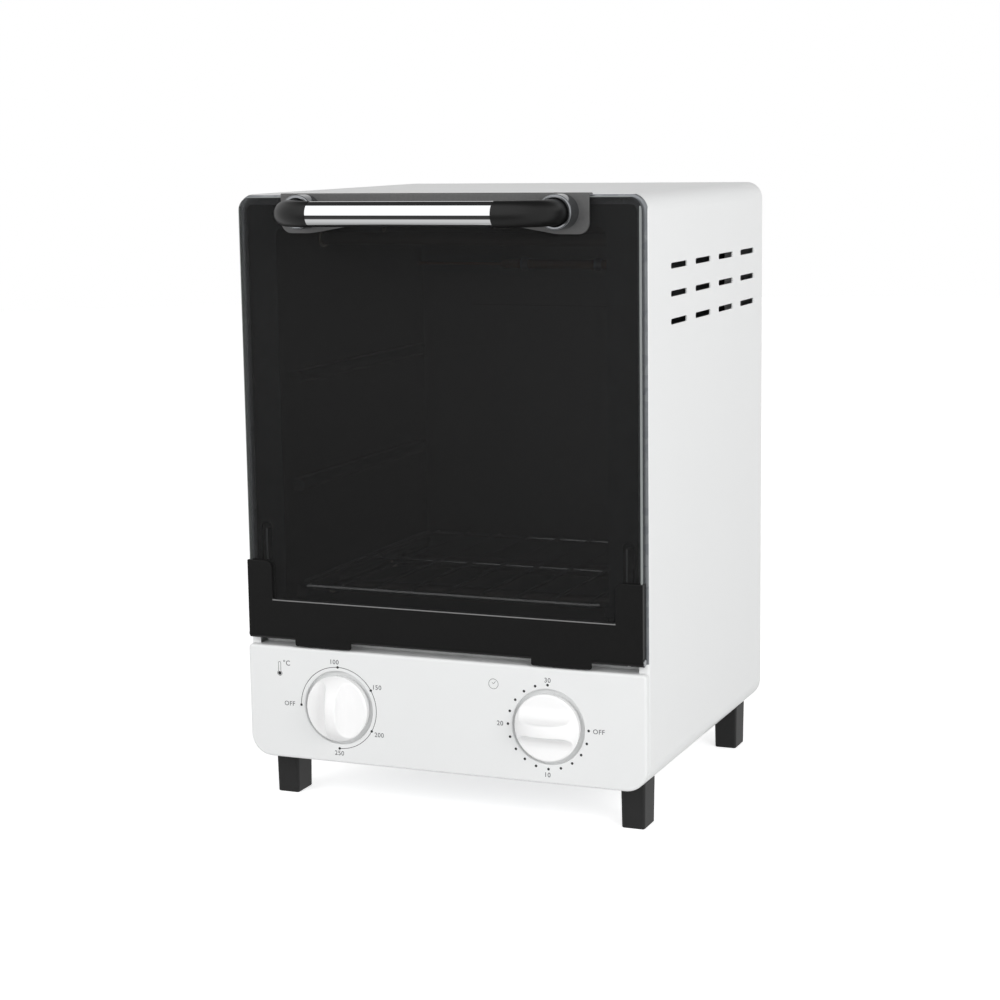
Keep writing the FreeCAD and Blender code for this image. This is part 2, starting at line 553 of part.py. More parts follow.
def draw_tongue(sketch, middle, half, tip, upright=True):
    """An outline with one end rounded about the middle and the other end flat at the tip's level."""
    across, up = size(middle[0]), size(middle[1])
    centre = FreeCAD.Vector(across.value, up.value, 0)
    reach = size(tip).value
    span = size(half).value
    if upright:
        ends = [FreeCAD.Vector(centre.x - span, centre.y, 0), FreeCAD.Vector(centre.x + span, centre.y, 0)]
        tips = [FreeCAD.Vector(end.x, reach, 0) for end in ends]
        begin, stop = math.pi, 2 * math.pi
    else:
        ends = [FreeCAD.Vector(centre.x, centre.y + span, 0), FreeCAD.Vector(centre.x, centre.y - span, 0)]
        tips = [FreeCAD.Vector(reach, end.y, 0) for end in ends]
        begin, stop = math.pi / 2, 3 * math.pi / 2
    circle = Part.Circle(centre, FreeCAD.Vector(0, 0, 1), span)
    arc = sketch.addGeometry(Part.ArcOfCircle(circle, begin, stop), False)
    near = sketch.addGeometry(Part.LineSegment(tips[0], ends[0]), False)
    far = sketch.addGeometry(Part.LineSegment(ends[1], tips[1]), False)
    close = sketch.addGeometry(Part.LineSegment(tips[1], tips[0]), False)
    pin_down(sketch, arc, 3, across, up)
    sketch.addConstraint(Sketcher.Constraint("Tangent", near, 2, arc, 1))
    sketch.addConstraint(Sketcher.Constraint("Tangent", arc, 2, far, 1))
    sketch.addConstraint(Sketcher.Constraint("Coincident", far, 2, close, 1))
    sketch.addConstraint(Sketcher.Constraint("Coincident", close, 2, near, 1))
    along, level = ("Vertical", "DistanceY") if upright else ("Horizontal", "DistanceX")
    square = "Horizontal" if upright else "Vertical"
    sketch.addConstraint(Sketcher.Constraint(along, near))
    sketch.addConstraint(Sketcher.Constraint(along, far))
    sketch.addConstraint(Sketcher.Constraint(square, close))
    rule = Sketcher.Constraint("Radius", arc, span)
    bind(sketch, sketch.addConstraint(rule), half)
    rule = Sketcher.Constraint(level, -1, 1, close, 1, reach)
    bind(sketch, sketch.addConstraint(rule), tip)


def draw_box(sketch, left, low, right, high, low_radius=None, high_radius=None):
    """A rectangle, with its lower and its upper corners rounded where a radius is given."""
    low_end = (low_radius,) if low_radius is not None else ()
    high_end = (high_radius,) if high_radius is not None else ()
    draw_outline(sketch, [(left, low) + low_end, (right, low) + low_end,
                          (right, high) + high_end, (left, high) + high_end])


def extrude(body, sketch, length, both_ways=False, backwards=False):
    feature = doc.addObject("PartDesign::Pad", "Pad")
    feature.Profile = sketch
    feature.Midplane = both_ways
    feature.Reversed = backwards
    feature.setExpression("Length", size(length).formula)
    return join(body, feature)


def join(body, feature):
    """Adds a feature to the body as its newest one."""
    before = body.Tip
    volume = before.Shape.Volume if before else 0.0
    body.addObject(feature)
    doc.recompute()
    if "Invalid" in feature.State or "Error" in feature.State or feature.Shape.isNull():
        raise RuntimeError(f"{body.Label}: {feature.Name} failed")
    if feature.isDerivedFrom("PartDesign::Pocket") or feature.isDerivedFrom("PartDesign::Groove"):
        if feature.Shape.Volume > volume - 1e-6:
            raise RuntimeError(f"{body.Label}: {feature.Name} cuts nothing")
    body.Tip = feature
    return feature


def cut(body, sketch, depth=None, both_ways=False, backwards=False):
    """A pocket as deep as given, or through everything."""
    feature = doc.addObject("PartDesign::Pocket", "Pocket")
    feature.Profile = sketch
    feature.Midplane = both_ways
    feature.Reversed = backwards
    if depth is None:
        feature.Type = "ThroughAll"
    else:
        feature.setExpression("Length", size(depth).formula)
    return join(body, feature)


def revolve(body, sketch, angle=360, backwards=False):
    """Turns the sketch about its own construction line."""
    feature = doc.addObject("PartDesign::Revolution", "Revolution")
    feature.Profile = sketch
    feature.ReferenceAxis = (sketch, ["Axis0"])
    feature.Reversed = backwards
    feature.setExpression("Angle", size(angle).formula)
    return join(body, feature)


def repeat(body, feature, sketch, across=None, up=None):
    """Repeats a feature along its sketch's two axes. Each run is (step, count)."""
    rows = doc.addObject("PartDesign::LinearPattern", "Rows")
    rows.Originals = [feature]
    step, count = across or up
    rows.Direction = (sketch, ["H_Axis" if across else "V_Axis"])
    rows.setExpression("Length", (step * (count - 1)).formula)
    rows.setExpression("Occurrences", size(count).formula)
    if across and up:
        step, count = up
        rows.Direction2 = (sketch, ["V_Axis"])
        rows.setExpression("Length2", (step * (count - 1)).formula)
        rows.setExpression("Occurrences2", size(count).formula)
    return join(body, rows)


def round_edges(body, radius, chosen):
    """Rounds the edges that the given test picks."""
    shape = body.Tip.Shape
    names = [f"Edge{index}" for index, edge in enumerate(shape.Edges, start=1) if chosen(edge)]
    if not names:
        raise RuntimeError(f"{body.Label}: no edge to round")
    feature = doc.addObject("PartDesign::Fillet", "Fillet")
    feature.Base = (body.Tip, names)
    feature.setExpression("Radius", size(radius).formula)
    return join(body, feature)


def lies_at(edge, axis, place):
    """Tells whether the whole edge lies at one place along an axis."""
    box = edge.BoundBox
    low = getattr(box, axis + "Min")
    high = getattr(box, axis + "Max")
    return abs(low - size(place).value) < 1e-3 and abs(high - size(place).value) < 1e-3


def rear_screw_places():
    """Where the rear cover is screwed to the casing's rear hem: two rows of three and one at each side."""
    side = S.half - S.cover_screw_inset
    step = S.casing_height * S.cover_screw_share
    heights = (S.floor + step, (S.floor + S.top) / 2, S.top - step)
    rows = [(way * side, height) for way in (-1, 1) for height in heights]
    return rows + [(size(0), S.floor + S.cover_screw_inset), (size(0), S.top - S.cover_screw_inset)]


def foot_places():
    side = S.half - S.foot_side_inset
    front = S.front + S.foot_front_inset
    rear = S.rear - S.foot_rear_inset
    return {"foot_front_left": (-side, front), "foot_front_right": (side, front),
            "foot_rear_left": (-side, rear), "foot_rear_right": (side, rear)}


def base_screw_places():
    """Where the base plate is screwed to the casing's floor hem."""
    side = S.half - S.floor_hem + S.base_screw_inset
    middle = (S.front + S.rear) / 2
    reach = S.casing_depth * S.base_screw_share
    return [(place * side, middle + step * reach) for place in (-1, 1) for step in (-1, 1)]


def knob_sides():
    return {"temperature": -S.knob_side, "timer": S.knob_side}


def build_outer_casing():
    """One sheet wrapped round both sides, the top and the edges of the floor, hemmed front and rear."""
    body = piece("outer_casing")
    sketch = facing_front(body, S.rear)
    draw_box(sketch, -S.half, S.floor, S.half, S.top, S.casing_bend, S.crown_bend)
    extrude(body, sketch, S.casing_depth)
    round_edges(body, S.hem_radius, lambda edge: lies_at(edge, "Y", S.front))
    inner = S.half - S.casing_sheet
    sketch = facing_front(body, S.frame_front)
    draw_box(sketch, -inner, S.floor + S.casing_sheet, inner, S.top - S.casing_sheet,
             S.casing_bend - S.casing_sheet, S.crown_bend - S.casing_sheet)
    cut(body, sketch, S.casing_depth - S.casing_sheet * 2)
    round_edges(body, S.hem_radius - S.casing_sheet, lambda edge: lies_at(edge, "Y", S.frame_front))
    mouth = S.half - S.hem_width
    sketch = facing_front(body, S.front)
    draw_box(sketch, -mouth, S.floor + S.hem_width, mouth, S.top - S.hem_width,
             S.casing_bend - S.hem_width, S.crown_bend - S.hem_width)
    cut(body, sketch, S.casing_sheet * 2)
    mouth = S.half - S.rear_hem
    sketch = facing_front(body, S.rear - S.casing_sheet * 2)
    draw_box(sketch, -mouth, S.floor + S.rear_hem, mouth, S.top - S.rear_hem)
    cut(body, sketch)
    sketch = level_with(body, S.floor + S.casing_sheet)
    draw_box(sketch, S.floor_hem - S.half, S.front + S.floor_hem_end, S.half - S.floor_hem,
             S.rear - S.floor_hem_end)
    cut(body, sketch, S.casing_sheet * 2)
    sketch = level_with(body, S.floor + S.casing_sheet)
    for across, deep in foot_places().values():
        draw_circle(sketch, across, deep, S.foot_screw_radius + S.fit_gap)
    for across, deep in base_screw_places():
        draw_circle(sketch, across, deep, S.screw_radius + S.fit_gap)
    cut(body, sketch, S.casing_sheet * 2)
    sketch = facing_front(body, S.rear - S.casing_sheet)
    for across, height in rear_screw_places():
        draw_circle(sketch, across, height, S.screw_radius + S.fit_gap)
    cut(body, sketch)
    sketch = facing_side(body)
    low_row = S.top - S.vent_drop - S.vent_row_step * (S.vent_rows - 1)
    first = S.front + S.vent_start
    end_round = S.vent_slot * S.slot_rounding
    draw_box(sketch, first - S.vent_length / 2, low_row - S.vent_slot / 2,
             first + S.vent_length / 2, low_row + S.vent_slot / 2, end_round, end_round)
    slot = cut(body, sketch, None, both_ways=True)
    repeat(body, slot, sketch, (S.vent_step, S.vent_count), (S.vent_row_step, S.vent_rows))


def build_control_panel():
    """A shallow folded tray with a pressed dish for each knob and a ledge along its top."""
    body = piece("control_panel")
    edge = S.half - S.fit_gap
    rear = S.front - S.fit_gap
    sketch = facing_front(body, rear)
    draw_box(sketch, -edge, S.floor, edge, S.panel_top, S.casing_bend, S.panel_top_corner)
    extrude(body, sketch, rear - S.panel_face)
    round_edges(body, S.panel_edge, lambda line: lies_at(line, "Y", S.panel_face))
    inner = edge - S.panel_sheet
    bend = S.casing_bend - S.panel_sheet
    sketch = facing_front(body, S.panel_face + S.panel_sheet)
    draw_box(sketch, -inner, S.floor + S.panel_sheet, inner, S.panel_top - S.panel_sheet, bend,
             S.panel_top_corner - S.panel_sheet)
    cut(body, sketch)
    sketch = facing_front(body, S.behind_dish)
    for side in knob_sides().values():
        draw_circle(sketch, side, S.knob_z, S.dish_radius + S.panel_sheet)
    extrude(body, sketch, S.dish_depth)
    sketch = facing_front(body, S.panel_face)
    for side in knob_sides().values():
        draw_circle(sketch, side, S.knob_z, S.dish_radius)
    cut(body, sketch, S.dish_depth)
    mouth = S.dish_radius.value
    round_edges(body, S.dish_edge, lambda line: lies_at(line, "Y", S.panel_face)
                and hasattr(line.Curve, "Radius") and abs(line.Curve.Radius - mouth) < 1e-3)
    sketch = facing_front(body, S.dish_floor)
    for side in knob_sides().values():
        draw_circle(sketch, side, S.knob_z, S.bush_radius + S.fit_gap)
        for way in (-1, 1):
            draw_circle(sketch, side + way * S.control_screw_offset, S.knob_z, S.screw_radius + S.fit_gap)
    cut(body, sketch)
    ledge_half = S.half - S.hem_width - S.swing_gap
    sketch = level_with(body, S.panel_top - S.panel_sheet)
    draw_box(sketch, -ledge_half, S.panel_face + S.panel_sheet * 2, ledge_half, S.front + S.panel_ledge)
    extrude(body, sketch, S.panel_sheet)


def build_front_frame():
    """The plated frame round the cavity's mouth, stepped back behind the hinge, slotted for the stays."""
    body = piece("front_frame")
    edge = S.half - S.hem_radius - S.fit_gap
    step = S.floor + S.frame_step_level
    crown = S.crown_bend - S.hem_radius
    sketch = facing_front(body, S.frame_rear)
    draw_box(sketch, -edge, step, edge, S.top - S.hem_radius - S.fit_gap, None, crown)
    extrude(body, sketch, S.frame_sheet)
    wall = S.front + S.frame_step_depth
    ledge_half = S.half - S.hem_width - S.swing_gap
    sketch = facing_side(body)
    draw_outline(sketch, [(S.frame_front, step), (wall, step), (wall, S.panel_top),
                          (wall + S.frame_sheet, S.panel_top),
                          (wall + S.frame_sheet, step + S.frame_sheet),
                          (S.frame_front, step + S.frame_sheet)])
    extrude(body, sketch, ledge_half * 2, both_ways=True)
    sketch = facing_front(body, S.frame_front)
    draw_box(sketch, -S.cavity_half, S.cavity_low, S.cavity_half, S.cavity_high,
             S.cavity_corner, S.cavity_corner)
    for way in (-1, 1):
        low = S.floor + S.slot_low
        high = S.floor + S.slot_high
        side = way * S.slot_side
        corner = S.slot_width * S.slot_rounding
        draw_box(sketch, side - S.slot_width / 2, low, side + S.slot_width / 2, high, corner, corner)
    cut(body, sketch, S.frame_sheet * 2)


def build_cavity():
    """The oven cavity: a wrapped sleeve with pressed rack ledges, and a back with a raised field."""
    body = piece("cavity_sleeve")
    outer = S.cavity_half + S.cavity_sheet
    bend = S.cavity_corner + S.cavity_sheet
    sketch = facing_front(body, S.cavity_end)
    draw_box(sketch, -outer, S.cavity_low - S.cavity_sheet, outer, S.cavity_high + S.cavity_sheet, bend, bend)
    extrude(body, sketch, S.cavity_depth)
    sketch = facing_front(body, S.frame_rear)
    draw_box(sketch, -S.cavity_half, S.cavity_low, S.cavity_half, S.cavity_high,
             S.cavity_corner, S.cavity_corner)
    cut(body, sketch)
    ledge_rear = S.cavity_end - S.ledge_inset
    ledge_run = S.cavity_depth - S.ledge_inset * 2
    ledge_top = S.floor + S.ledge_level
    ledges = facing_front(body, ledge_rear)
    hollows = facing_front(body, ledge_rear - ledge_run + S.cavity_sheet)
    for way in (-1, 1):
        nose = S.cavity_half - S.ledge_reach
        round_nose = S.ledge_radius * S.ledge_nose
        draw_outline(ledges, [(way * outer, ledge_top), (way * nose, ledge_top, round_nose),
                              (way * nose, ledge_top - S.ledge_radius * 2, round_nose),
                              (way * outer, ledge_top - S.ledge_radius * 2)])
        inner_nose = round_nose - S.cavity_sheet
        draw_outline(hollows, [(way * (outer + S.cavity_sheet), ledge_top - S.cavity_sheet),
                               (way * (nose + S.cavity_sheet), ledge_top - S.cavity_sheet, inner_nose),
                               (way * (nose + S.cavity_sheet),
                                ledge_top - S.ledge_radius * 2 + S.cavity_sheet, inner_nose),
                               (way * (outer + S.cavity_sheet),
                                ledge_top - S.ledge_radius * 2 + S.cavity_sheet)])
    pressed = extrude(body, ledges, ledge_run)
    repeat(body, pressed, ledges, up=(S.ledge_step, S.ledge_count))
    hollow = cut(body, hollows, ledge_run - S.cavity_sheet * 2)
    repeat(body, hollow, hollows, up=(S.ledge_step, S.ledge_count))
    sketch = facing_side(body)
    for deep in (S.heater_front, S.heater_rear):
        for height in (S.heater_low, S.heater_high):
            draw_circle(sketch, S.front + deep, S.floor + height, S.heater_radius + S.bush_wall + S.fit_gap)
    cut(body, sketch, None, both_ways=True)
    sketch = facing_side(body, -S.cavity_half + S.cavity_sheet * 2)
    draw_circle(sketch, bulb_depth(), S.floor + S.bulb_level, S.capillary_radius + S.fit_gap)
    cut(body, sketch, S.capillary_air)

    body = piece("cavity_back")
    margin = S.back_margin
    sketch = facing_front(body, S.cavity_end + S.cavity_sheet)
    draw_box(sketch, -outer - margin, S.cavity_low - margin, outer + margin, S.cavity_high + margin, bend, bend)
    extrude(body, sketch, S.cavity_sheet)
    sketch = facing_front(body, S.cavity_end)
    draw_field(sketch, size(0))
    extrude(body, sketch, S.back_field)
    sketch = facing_front(body, S.cavity_end - S.back_field + S.cavity_sheet)
    draw_field(sketch, S.cavity_sheet)
    cut(body, sketch)


def draw_field(sketch, shrink):
    """The outline of the raised field, drawn smaller by a margin for its hollow side."""
    half = S.cavity_half - S.field_side - shrink
    corner = S.field_corner - shrink
    draw_box(sketch, -half, S.cavity_low + S.field_low + shrink, half, S.cavity_high - S.field_high - shrink,
             corner, corner)


def bulb_depth():
    """The bulb lies close in front of the cavity's back."""
    return S.cavity_end - S.bulb_radius - S.bulb_air


def build_rack():
    """A welded wire rack: a border rod, wires on top from front to rear and a cross rod below."""
    body = piece("wire_rack")
    path = level_with(body, S.rack_z)
    draw_box(path, -S.rack_half, S.rack_y0, S.rack_half, S.rack_y1, S.rack_corner, S.rack_corner)
    section = facing_side(body)
    draw_circle(section, S.rack_y0, S.rack_z, S.rack_rod)
    pipe = doc.addObject("PartDesign::AdditivePipe", "Pipe")
    pipe.Profile = section
    pipe.Spine = (path, [])
    join(body, pipe)
    wire_z = S.rack_z + S.rack_rod + S.rack_wire * S.wire_seat
    sketch = facing_front(body, S.rack_y1 + S.rack_rod / 2)
    draw_circle(sketch, -S.rack_pitch * (S.rack_wires - 1) / 2, wire_z, S.rack_wire)
    wire = extrude(body, sketch, S.rack_y1 - S.rack_y0 + S.rack_rod)
    repeat(body, wire, sketch, (S.rack_pitch, S.rack_wires))
    sketch = facing_side(body)
    draw_circle(sketch, (S.rack_y0 + S.rack_y1) / 2, wire_z - S.rack_wire * 2 + S.fit_gap, S.rack_wire)
    extrude(body, sketch, S.rack_half * 2, both_ways=True)


def build_heaters():
    """Four heater tubes across the cavity, each held by two ceramic bushes in the cavity's walls."""
    shoulder = S.cavity_half + S.cavity_sheet
    bushes = []
    for level_name, height in (("lower", S.heater_low), ("upper", S.heater_high)):
        for row_name, deep in (("front", S.heater_front), ("rear", S.heater_rear)):
            body = piece(f"heater_{level_name}_{row_name}")
            for radius, reach in ((S.heater_radius, S.heater_stub),
                                  (S.heater_pin, S.heater_stub + S.heater_pin_length)):
                sketch = facing_side(body)
                draw_circle(sketch, S.front + deep, S.floor + height, radius)
                extrude(body, sketch, (shoulder + reach) * 2, both_ways=True)
            for way in (-1, 1):
                place = FreeCAD.Vector(way * shoulder.value, (S.front + deep).value, (S.floor + height).value)
                bushes.append(heater_bush(place, way))
    solid("heater_bushes", Part.makeCompound(bushes))


def heater_bush(place, way):
    """A flanged ceramic ring: its flange lies against the wall's outer side, its neck sits in the hole."""
    outward = FreeCAD.Vector(way, 0, 0)
    neck = (S.cavity_sheet + S.bush_neck).value
    depth = S.bush_flange_depth.value
    start = place - outward * neck
    barrel = Part.makeCylinder((S.heater_radius + S.bush_wall).value, neck + depth, start, outward)
    flange = Part.makeCylinder((S.heater_radius + S.bush_flange).value, depth, place, outward)
    bore = Part.makeCylinder((S.heater_radius + S.fit_gap).value, neck + depth, start, outward)
    return barrel.fuse(flange).cut(bore)


def build_bulb():
    """The thermostat's bulb in its clips, and the capillary that runs down to the thermostat."""
    level = S.floor + S.bulb_level
    body = piece("thermostat_bulb")
    sketch = facing_side(body)
    draw_circle(sketch, bulb_depth(), level, S.bulb_radius)
    extrude(body, sketch, S.bulb_length, both_ways=True)
    end = S.bulb_length / 2
    round_edges(body, S.bulb_end, lambda edge: lies_at(edge, "X", end) or lies_at(edge, "X", -end))
    clips = []
    for way in (-1, 1):
        middle = FreeCAD.Vector((way * S.bulb_length * S.clip_place).value, bulb_depth().value, level.value)
        clips.append(bulb_clip(middle))
    solid("bulb_clips", Part.makeCompound(clips))

    outside = -S.cavity_half - S.cavity_sheet - S.capillary_air
    low = S.floor + S.capillary_level
    route = [
        (-S.bulb_length / 2, bulb_depth(), level),
        (outside, bulb_depth(), level),
        (outside, bulb_depth(), low),
        (-S.knob_side, bulb_depth(), low),
        (-S.knob_side, thermostat_rear(), low),
    ]
    points = [FreeCAD.Vector(*(coordinate.value for coordinate in stop)) for stop in route]
    wire = rounded_path(points, S.capillary_bend.value)
    start = points[1] - points[0]
    ring = Part.Wire(Part.makeCircle(S.capillary_radius.value, points[0], start))
    solid("capillary_tube", wire.makePipeShell([ring], True, True))


def bulb_clip(middle):
    """A sprung clip that stands out from the cavity's back and holds the bulb."""
    inner = (S.bulb_radius + S.fit_gap).value
    outer = inner + S.clip_sheet.value
    width = S.clip_width.value
    thick = S.clip_stem.value
    axis = FreeCAD.Vector(1, 0, 0)
    start = middle - axis * (width / 2)
    ring = Part.makeCylinder(outer, width, start, axis).cut(Part.makeCylinder(inner, width, start, axis))
    back = S.cavity_end.value - middle.y
    root = FreeCAD.Vector(start.x, middle.y + inner, middle.z - thick / 2)
    return ring.fuse(Part.makeBox(width, back - inner, thick, root))


def rounded_path(points, radius):
    """A path of straight runs joined by tangent arcs."""
    edges = []
    start = points[0]
    for before, corner, after in zip(points, points[1:], points[2:]):
        begin, centre, end = corner_round(before, corner, after, radius)
        middle = centre + (corner - centre).normalize() * radius
        edges.append(Part.LineSegment(start, begin).toShape())
        edges.append(Part.Arc(begin, middle, end).toShape())
        start = end
    edges.append(Part.LineSegment(start, points[-1]).toShape())
    return Part.Wire(edges)


def thermostat_rear():
    return S.behind_dish + S.thermostat_depth


def build_controls():
    """The thermostat and the timer behind the panel, each with a bush through its dish."""
    blocks = (("thermostat_body", "temperature", S.thermostat_width, S.thermostat_height, S.thermostat_depth),
              ("timer_case", "timer", S.timer_width, S.timer_height, S.timer_depth))
    for name, side_name, width, height, depth in blocks:
        side = knob_sides()[side_name]
        body = piece(name)
        sketch = facing_front(body, S.behind_dish + depth)
        draw_box(sketch, side - width / 2, S.knob_z - height / 2, side + width / 2, S.knob_z + height / 2,
                 S.control_corner, S.control_corner)
        extrude(body, sketch, depth)
        sketch = facing_front(body, S.behind_dish)
        draw_circle(sketch, side, S.knob_z, S.bush_radius)
        extrude(body, sketch, S.panel_sheet)
        sketch = facing_front(body, S.dish_floor)
        draw_circle(sketch, side, S.knob_z, S.shaft_radius + S.shaft_play)
        cut(body, sketch, shaft_depth() + S.fit_gap * 2)
        sketch = facing_front(body, S.behind_dish)
        for way in (-1, 1):
            draw_circle(sketch, side + way * S.control_screw_offset, S.knob_z, S.screw_radius + S.fit_gap)
        cut(body, sketch, S.screw_length + S.fit_gap)

    body = piece("timer_bell")
    side = knob_sides()["timer"]
    rear = S.behind_dish + S.timer_depth
    sketch = level_with(body, S.knob_z)
    inside = side + S.bell_radius - S.bell_sheet
    mouth = rear + S.bell_air
    crown = rear + S.bell_height
    draw_outline(sketch, [(side, rear), (side + S.bell_post, rear), (side + S.bell_post, crown),
                          (inside, crown, S.bell_bend), (inside, mouth), (inside + S.bell_sheet, mouth),
                          (inside + S.bell_sheet, crown + S.bell_sheet, S.bell_bend + S.bell_sheet),
                          (side, crown + S.bell_sheet)])
    draw_axis(sketch, (side, rear), (side, rear + S.bell_height))
    revolve(body, sketch)


def shaft_depth():
    """How far a control's shaft reaches behind the dish floor."""
    return S.panel_sheet + S.shaft_reach


def build_knobs():
    """Each knob is a dome with a scoop on either side of its grip, on the flat of its control's shaft."""
    for name, side in knob_sides().items():
        upright = name == "temperature"
        rear = S.dish_floor - S.knob_float
        rim = rear - S.knob_rim
        crown = rim - S.grip_height
        body = piece(f"{name}_knob")
        sketch = level_with(body, S.knob_z)
        draw_dome(sketch, side, rear, rim, crown)
        draw_axis(sketch, (side, rear), (side, rim))
        revolve(body, sketch)
        sketch = level_with(body, S.knob_z) if upright else facing_side(body, side)
        middle = side if upright else S.knob_z
        for way in (-1, 1):
            draw_scoop(sketch, middle, way, rim, crown, upright)
        cut(body, sketch, None, both_ways=True)
        round_edges(body, S.grip_edge, lambda edge: runs_along_crest(edge, upright, middle, crown))
        bore = rear - S.shaft_grip
        sketch = facing_front(body, bore)
        draw_circle(sketch, side, S.knob_z, S.shaft_radius + S.shaft_play)
        cut(body, sketch)

        body = piece(f"{name}_shaft")
        sketch = facing_front(body, S.dish_floor + shaft_depth())
        draw_circle(sketch, side, S.knob_z, S.shaft_radius)
        extrude(body, sketch, S.dish_floor + shaft_depth() - bore)
        sketch = facing_front(body, bore)
        draw_box(sketch, side - S.shaft_radius, S.knob_z + S.shaft_radius - S.shaft_flat,
                 side + S.shaft_radius, S.knob_z + S.shaft_radius)
        cut(body, sketch, rear - bore)


def draw_dome(sketch, side, rear, rim, crown):
    """Half of a knob's section: a short rim under a ball's cap, whose arc is centred on the axis."""
    corners = [(side, crown), (side, rear), (side + S.knob_radius - S.knob_draft, rear), (side + S.knob_radius, rim)]
    points = [FreeCAD.Vector(across.value, level.value, 0) for across, level in corners]
    lines = []
    for start, end in zip(points, points[1:]):
        lines.append(sketch.addGeometry(Part.LineSegment(start, end), False))
    for line, (across, level) in zip(lines, corners):
        pin_down(sketch, line, 1, across, level)
    pin_down(sketch, lines[-1], 2, *corners[-1])
    sketch.addConstraint(Sketcher.Constraint("Coincident", lines[0], 2, lines[1], 1))
    sketch.addConstraint(Sketcher.Constraint("Coincident", lines[1], 2, lines[2], 1))
    ball = (S.knob_radius * S.knob_radius + S.grip_height * S.grip_height) / (S.grip_height * 2)
    centre = FreeCAD.Vector(side.value, (crown + ball).value, 0)
    arc, first = add_arc(sketch, points[-1], centre, points[0])
    sketch.addConstraint(Sketcher.Constraint("Coincident", lines[-1], 2, arc, first))
    sketch.addConstraint(Sketcher.Constraint("Coincident", arc, 3 - first, lines[0], 1))
    sketch.addConstraint(Sketcher.Constraint("PointOnObject", arc, 3, lines[0]))


def draw_scoop(sketch, middle, way, rim, crown, upright):
    """The section of one scoop: a hollow flank beside the grip that runs out flat over the rim."""
    low = rim - S.scoop_stand
    high = crown - S.scoop_runout
    outer = S.knob_radius + S.scoop_runout
    corners = []
    for across, level, radius in ((S.crest_half, high, None), (S.grip_foot_half, low, S.scoop_radius),
                                  (outer, low, None), (outer, high, None)):
        place = middle + way * across
        corners.append((place, level, radius) if upright else (level, place, radius))
    draw_outline(sketch, corners)


def runs_along_crest(edge, upright, middle, crown):
    """Picks the edges between the grip's crest and its flanks."""
    box = edge.BoundBox
    across = box.Center.x if upright else box.Center.z
    beside = abs(across - size(middle).value) > S.crest_half.value / 2
    high = box.YMin < (crown + S.scoop_stand).value
    return beside and high and edge.Length > S.crest_half.value * 2


def build_feet():
    """Tapered moulded feet with a well for the screw head."""
    for name, (across, deep) in foot_places().items():
        body = piece(name)
        sections = []
        for level, grow in ((S.floor, S.foot_flare), (size(0), size(0))):
            wide = (S.foot_width + grow) / 2
            long = (S.foot_length + grow) / 2
            sketch = level_with(body, level)
            draw_box(sketch, across - wide, deep - long, across + wide, deep + long,
                     S.foot_corner, S.foot_corner)
            sections.append(sketch)
        loft = doc.addObject("PartDesign::AdditiveLoft", "Loft")
        loft.Profile = sections[0]
        loft.Sections = [sections[1]]
        join(body, loft)
        round_edges(body, S.foot_edge, lambda edge: lies_at(edge, "Z", 0))
        sketch = level_with(body, 0)
        draw_circle(sketch, across, deep, S.foot_well_radius)
        cut(body, sketch, S.foot_well_depth, backwards=True)
        sketch = level_with(body, 0)
        draw_circle(sketch, across, deep, S.foot_screw_radius + S.fit_gap)
        cut(body, sketch, None, backwards=True)


